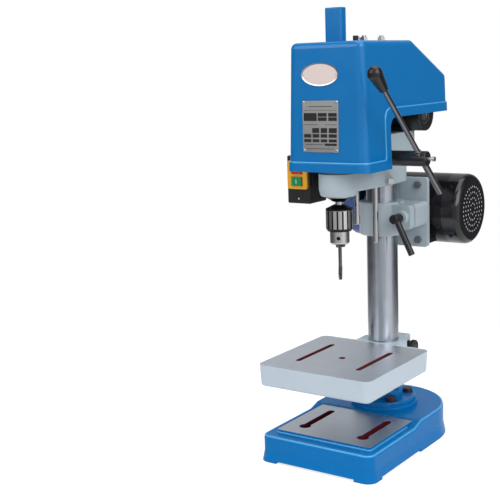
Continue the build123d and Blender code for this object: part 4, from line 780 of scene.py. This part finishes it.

# Pale dots and screws of the motor
# A pale plastic disc lies behind the cowl's end wall, and its bumps stand in the four rings of air
# holes; their pale colour is a painted highlight. Four slotted screws hold the cowl and the shield.
motor_y, motor_z, hole_step = 0.130, 0.435, 0.011
across_x = (0, pi / 2, 0)
highlight_disc = plastic("screen_painted_highlight", (0.50, 0.50, 0.53, 1), 0.3, 0.4, 1800.0)
bpy.ops.mesh.primitive_cylinder_add(vertices=64, radius=0.048, depth=0.0005,
                                    location=(0.1296, motor_y, motor_z), rotation=across_x)
bumps = [bpy.context.object]
for circle in range(1, 5):
    reach, count = hole_step * circle, 8 * circle
    for k in range(count):
        angle = 2 * pi * k / count
        place = (0.13055, motor_y + reach * cos(angle), motor_z + reach * sin(angle))
        bpy.ops.mesh.primitive_cylinder_add(vertices=16, radius=0.0019, depth=0.0018,
                                            location=place, rotation=across_x)
        bumps.append(bpy.context.object)
for bump in bumps:
    bump.select_set(True)
bpy.ops.object.join()
finish_piece("cowl_painted_highlight", highlight_disc, "stand")


def screw_head(name, radius, height, place, facing, material):
    """A domed head with a straight driver slot cut into it, turned to face a direction."""
    bpy.ops.mesh.primitive_cylinder_add(vertices=32, radius=radius, depth=height)
    bevel_edges(height * 0.55, 3, lambda a, b: min(a.z, b.z) > 0)
    head = bpy.context.object
    cutter = block((radius * 2.4, radius * 0.28, height * 0.55), (0, 0, height * 0.5))
    bpy.context.view_layer.objects.active = head
    cut = head.modifiers.new("slot", "BOOLEAN")
    cut.object = cutter
    bpy.ops.object.modifier_apply(modifier="slot")
    bpy.data.objects.remove(cutter)
    head.select_set(True)
    head.rotation_euler = Vector(facing).to_track_quat("Z", "X").to_euler()
    head.location = Vector(place) + Vector(facing).normalized() * height / 2
    finish_piece(name, material, "stand")


leftward = (-1, 0, 0)
for k in range(4):
    angle = radians(45 + 90 * k)
    out = Vector((0.0, cos(angle), sin(angle)))
    on_cowl = Vector((0.107, motor_y, motor_z)) + out * 0.0689
    screw_head("cowl_screw_%d" % (k + 1), 0.0036, 0.0022, on_cowl, out, motor_black)
    on_shield = Vector((-0.080, motor_y, motor_z)) + out * 0.052
    screw_head("shield_screw_%d" % (k + 1), 0.0042, 0.0030, on_shield, leftward, zinc)

# Belt drive and bearings inside
# Turned aluminium pulleys, rubber belts, ground shafts, polished bearing rings and bronze bushes.
# The countershaft's housing and the bearing bridge are iron castings in black enamel.
aluminium = machined("turned_aluminium", (0.62, 0.62, 0.62, 1), (1200.0, 60.0, 60.0), 0.2, 0.30)
coat(aluminium, "motor_pulley", "counter_pulley")
rubber = plastic("belt_rubber", (0.018, 0.018, 0.018, 1), 0.4, 0.75, 800.0)
coat(rubber, "drive_belt", "transfer_belt", "friction_wheel")
cross_steel = machined("cross_shaft", (0.60, 0.60, 0.60, 1), (1800.0, 40.0, 40.0), 0.12, 0.24)
coat(cross_steel, "countershaft", "friction_shaft", "feed_shaft", "feed_sector")
bearing = machined("bearing_ring", (0.66, 0.66, 0.66, 1), (60.0, 60.0, 900.0), 0.06, 0.15)
coat(bearing, "sleeve_bearings", "quill_bearings")
disc_iron = machined("disc_iron", (0.26, 0.26, 0.26, 1), (500.0, 500.0, 500.0), 0.2, 0.42)
coat(disc_iron, "friction_discs")
bronze = machined("bush_bronze", (0.58, 0.36, 0.16, 1), (1200.0, 60.0, 60.0), 0.15, 0.32)
coat(bronze, "shaft_bushes")
black_iron = enamelled("black_casting", (0.014, 0.014, 0.015, 1), 0.15, 0.4, 240.0, 0.36)
coat(black_iron, "countershaft_housing", "bearing_bridge")

# Bearing at the countershaft's right end
# A steel ball bearing in the open end of the housing: outer race, dark seal and inner race.
# The inner race turns with the shaft.
counter_y, counter_z, bearing_left = 0.045, 0.626, 0.0661
race = machined("bearing_race", (0.60, 0.60, 0.60, 1), (300.0, 300.0, 300.0), 0.08, 0.2)
seal = plastic("bearing_seal", (0.020, 0.018, 0.018, 1), 0.15, 0.5)
for name, inner, outer, right, material, body, slot in (
        ("countershaft_outer_race", 0.0170, 0.0218, 0.0705, race, "stand", "bearing_steel"),
        ("countershaft_seal", 0.0126, 0.0171, 0.0697, seal, "stand", "belt_rubber"),
        ("countershaft_inner_race", 0.0101, 0.0124, 0.0705, race, "countershaft_unit",
         "bearing_steel")):
    ring(name, inner, outer, bearing_left, right, material, body, counter_y, counter_z, "X")

# Screws of the guard and of the spring cup
# Slotted zinc-plated screws on the left side of the machine: five hold the belt guard, and three
# the cup of the return spring.
cup_y, cup_z, cup_circle = -0.0882, 0.554, 0.021
guard_places = ((0.130, 0.378), (0.178, 0.452), (0.008, 0.640), (0.070, 0.668), (0.030, 0.505))
for k, (y, z) in enumerate(guard_places):
    screw_head("guard_screw_%d" % (k + 1), 0.0040, 0.0024, (-0.1240, y, z), leftward, zinc)
for k in range(3):
    angle = radians(90 + 120 * k)
    place = (-0.0660, cup_y + cup_circle * cos(angle), cup_z + cup_circle * sin(angle))
    screw_head("spring_cup_screw_%d" % (k + 1), 0.0034, 0.0022, place, leftward, zinc)

# Switch
# A black moulded box with a golden yellow frame, a green start button and a red stop button.
# One small bright screw in front holds the frame.
switch_x = -0.1115
coat(plastic("switch_black", (0.016, 0.016, 0.017, 1), 0.25, 0.42), "switch_box")
coat(plastic("frame_yellow", (0.78, 0.36, 0.02, 1), 0.10, 0.34), "switch_bezel")
coat(plastic("start_green", (0.012, 0.25, 0.085, 1), 0.06, 0.30), "start_button")
coat(plastic("stop_red", (0.48, 0.012, 0.014, 1), 0.06, 0.30), "stop_button")
screw_head("switch_screw", 0.0022, 0.0014, (switch_x, -0.1220, 0.4755), (0, -1, 0), bright_rim)

# Marks on the buttons
# A plain moulded bar on the start button and a plain ring on the stop button, in white plastic.
mark_white = plastic("mark_white", (0.75, 0.76, 0.74, 1), 0.05, 0.4)
block((0.0013, 0.0004, 0.0075), (switch_x, -0.1306, 0.509))
bevel_edges(0.0003, 2, lambda a, b: abs(a.y - b.y) > 1e-6)
finish_piece("start_mark", mark_white, "start_push")
ring("stop_mark", 0.0025, 0.0036, -0.1308, -0.1304, mark_white, "stop_push",
     switch_x, 0.532, "Y", bevel=0.0001)
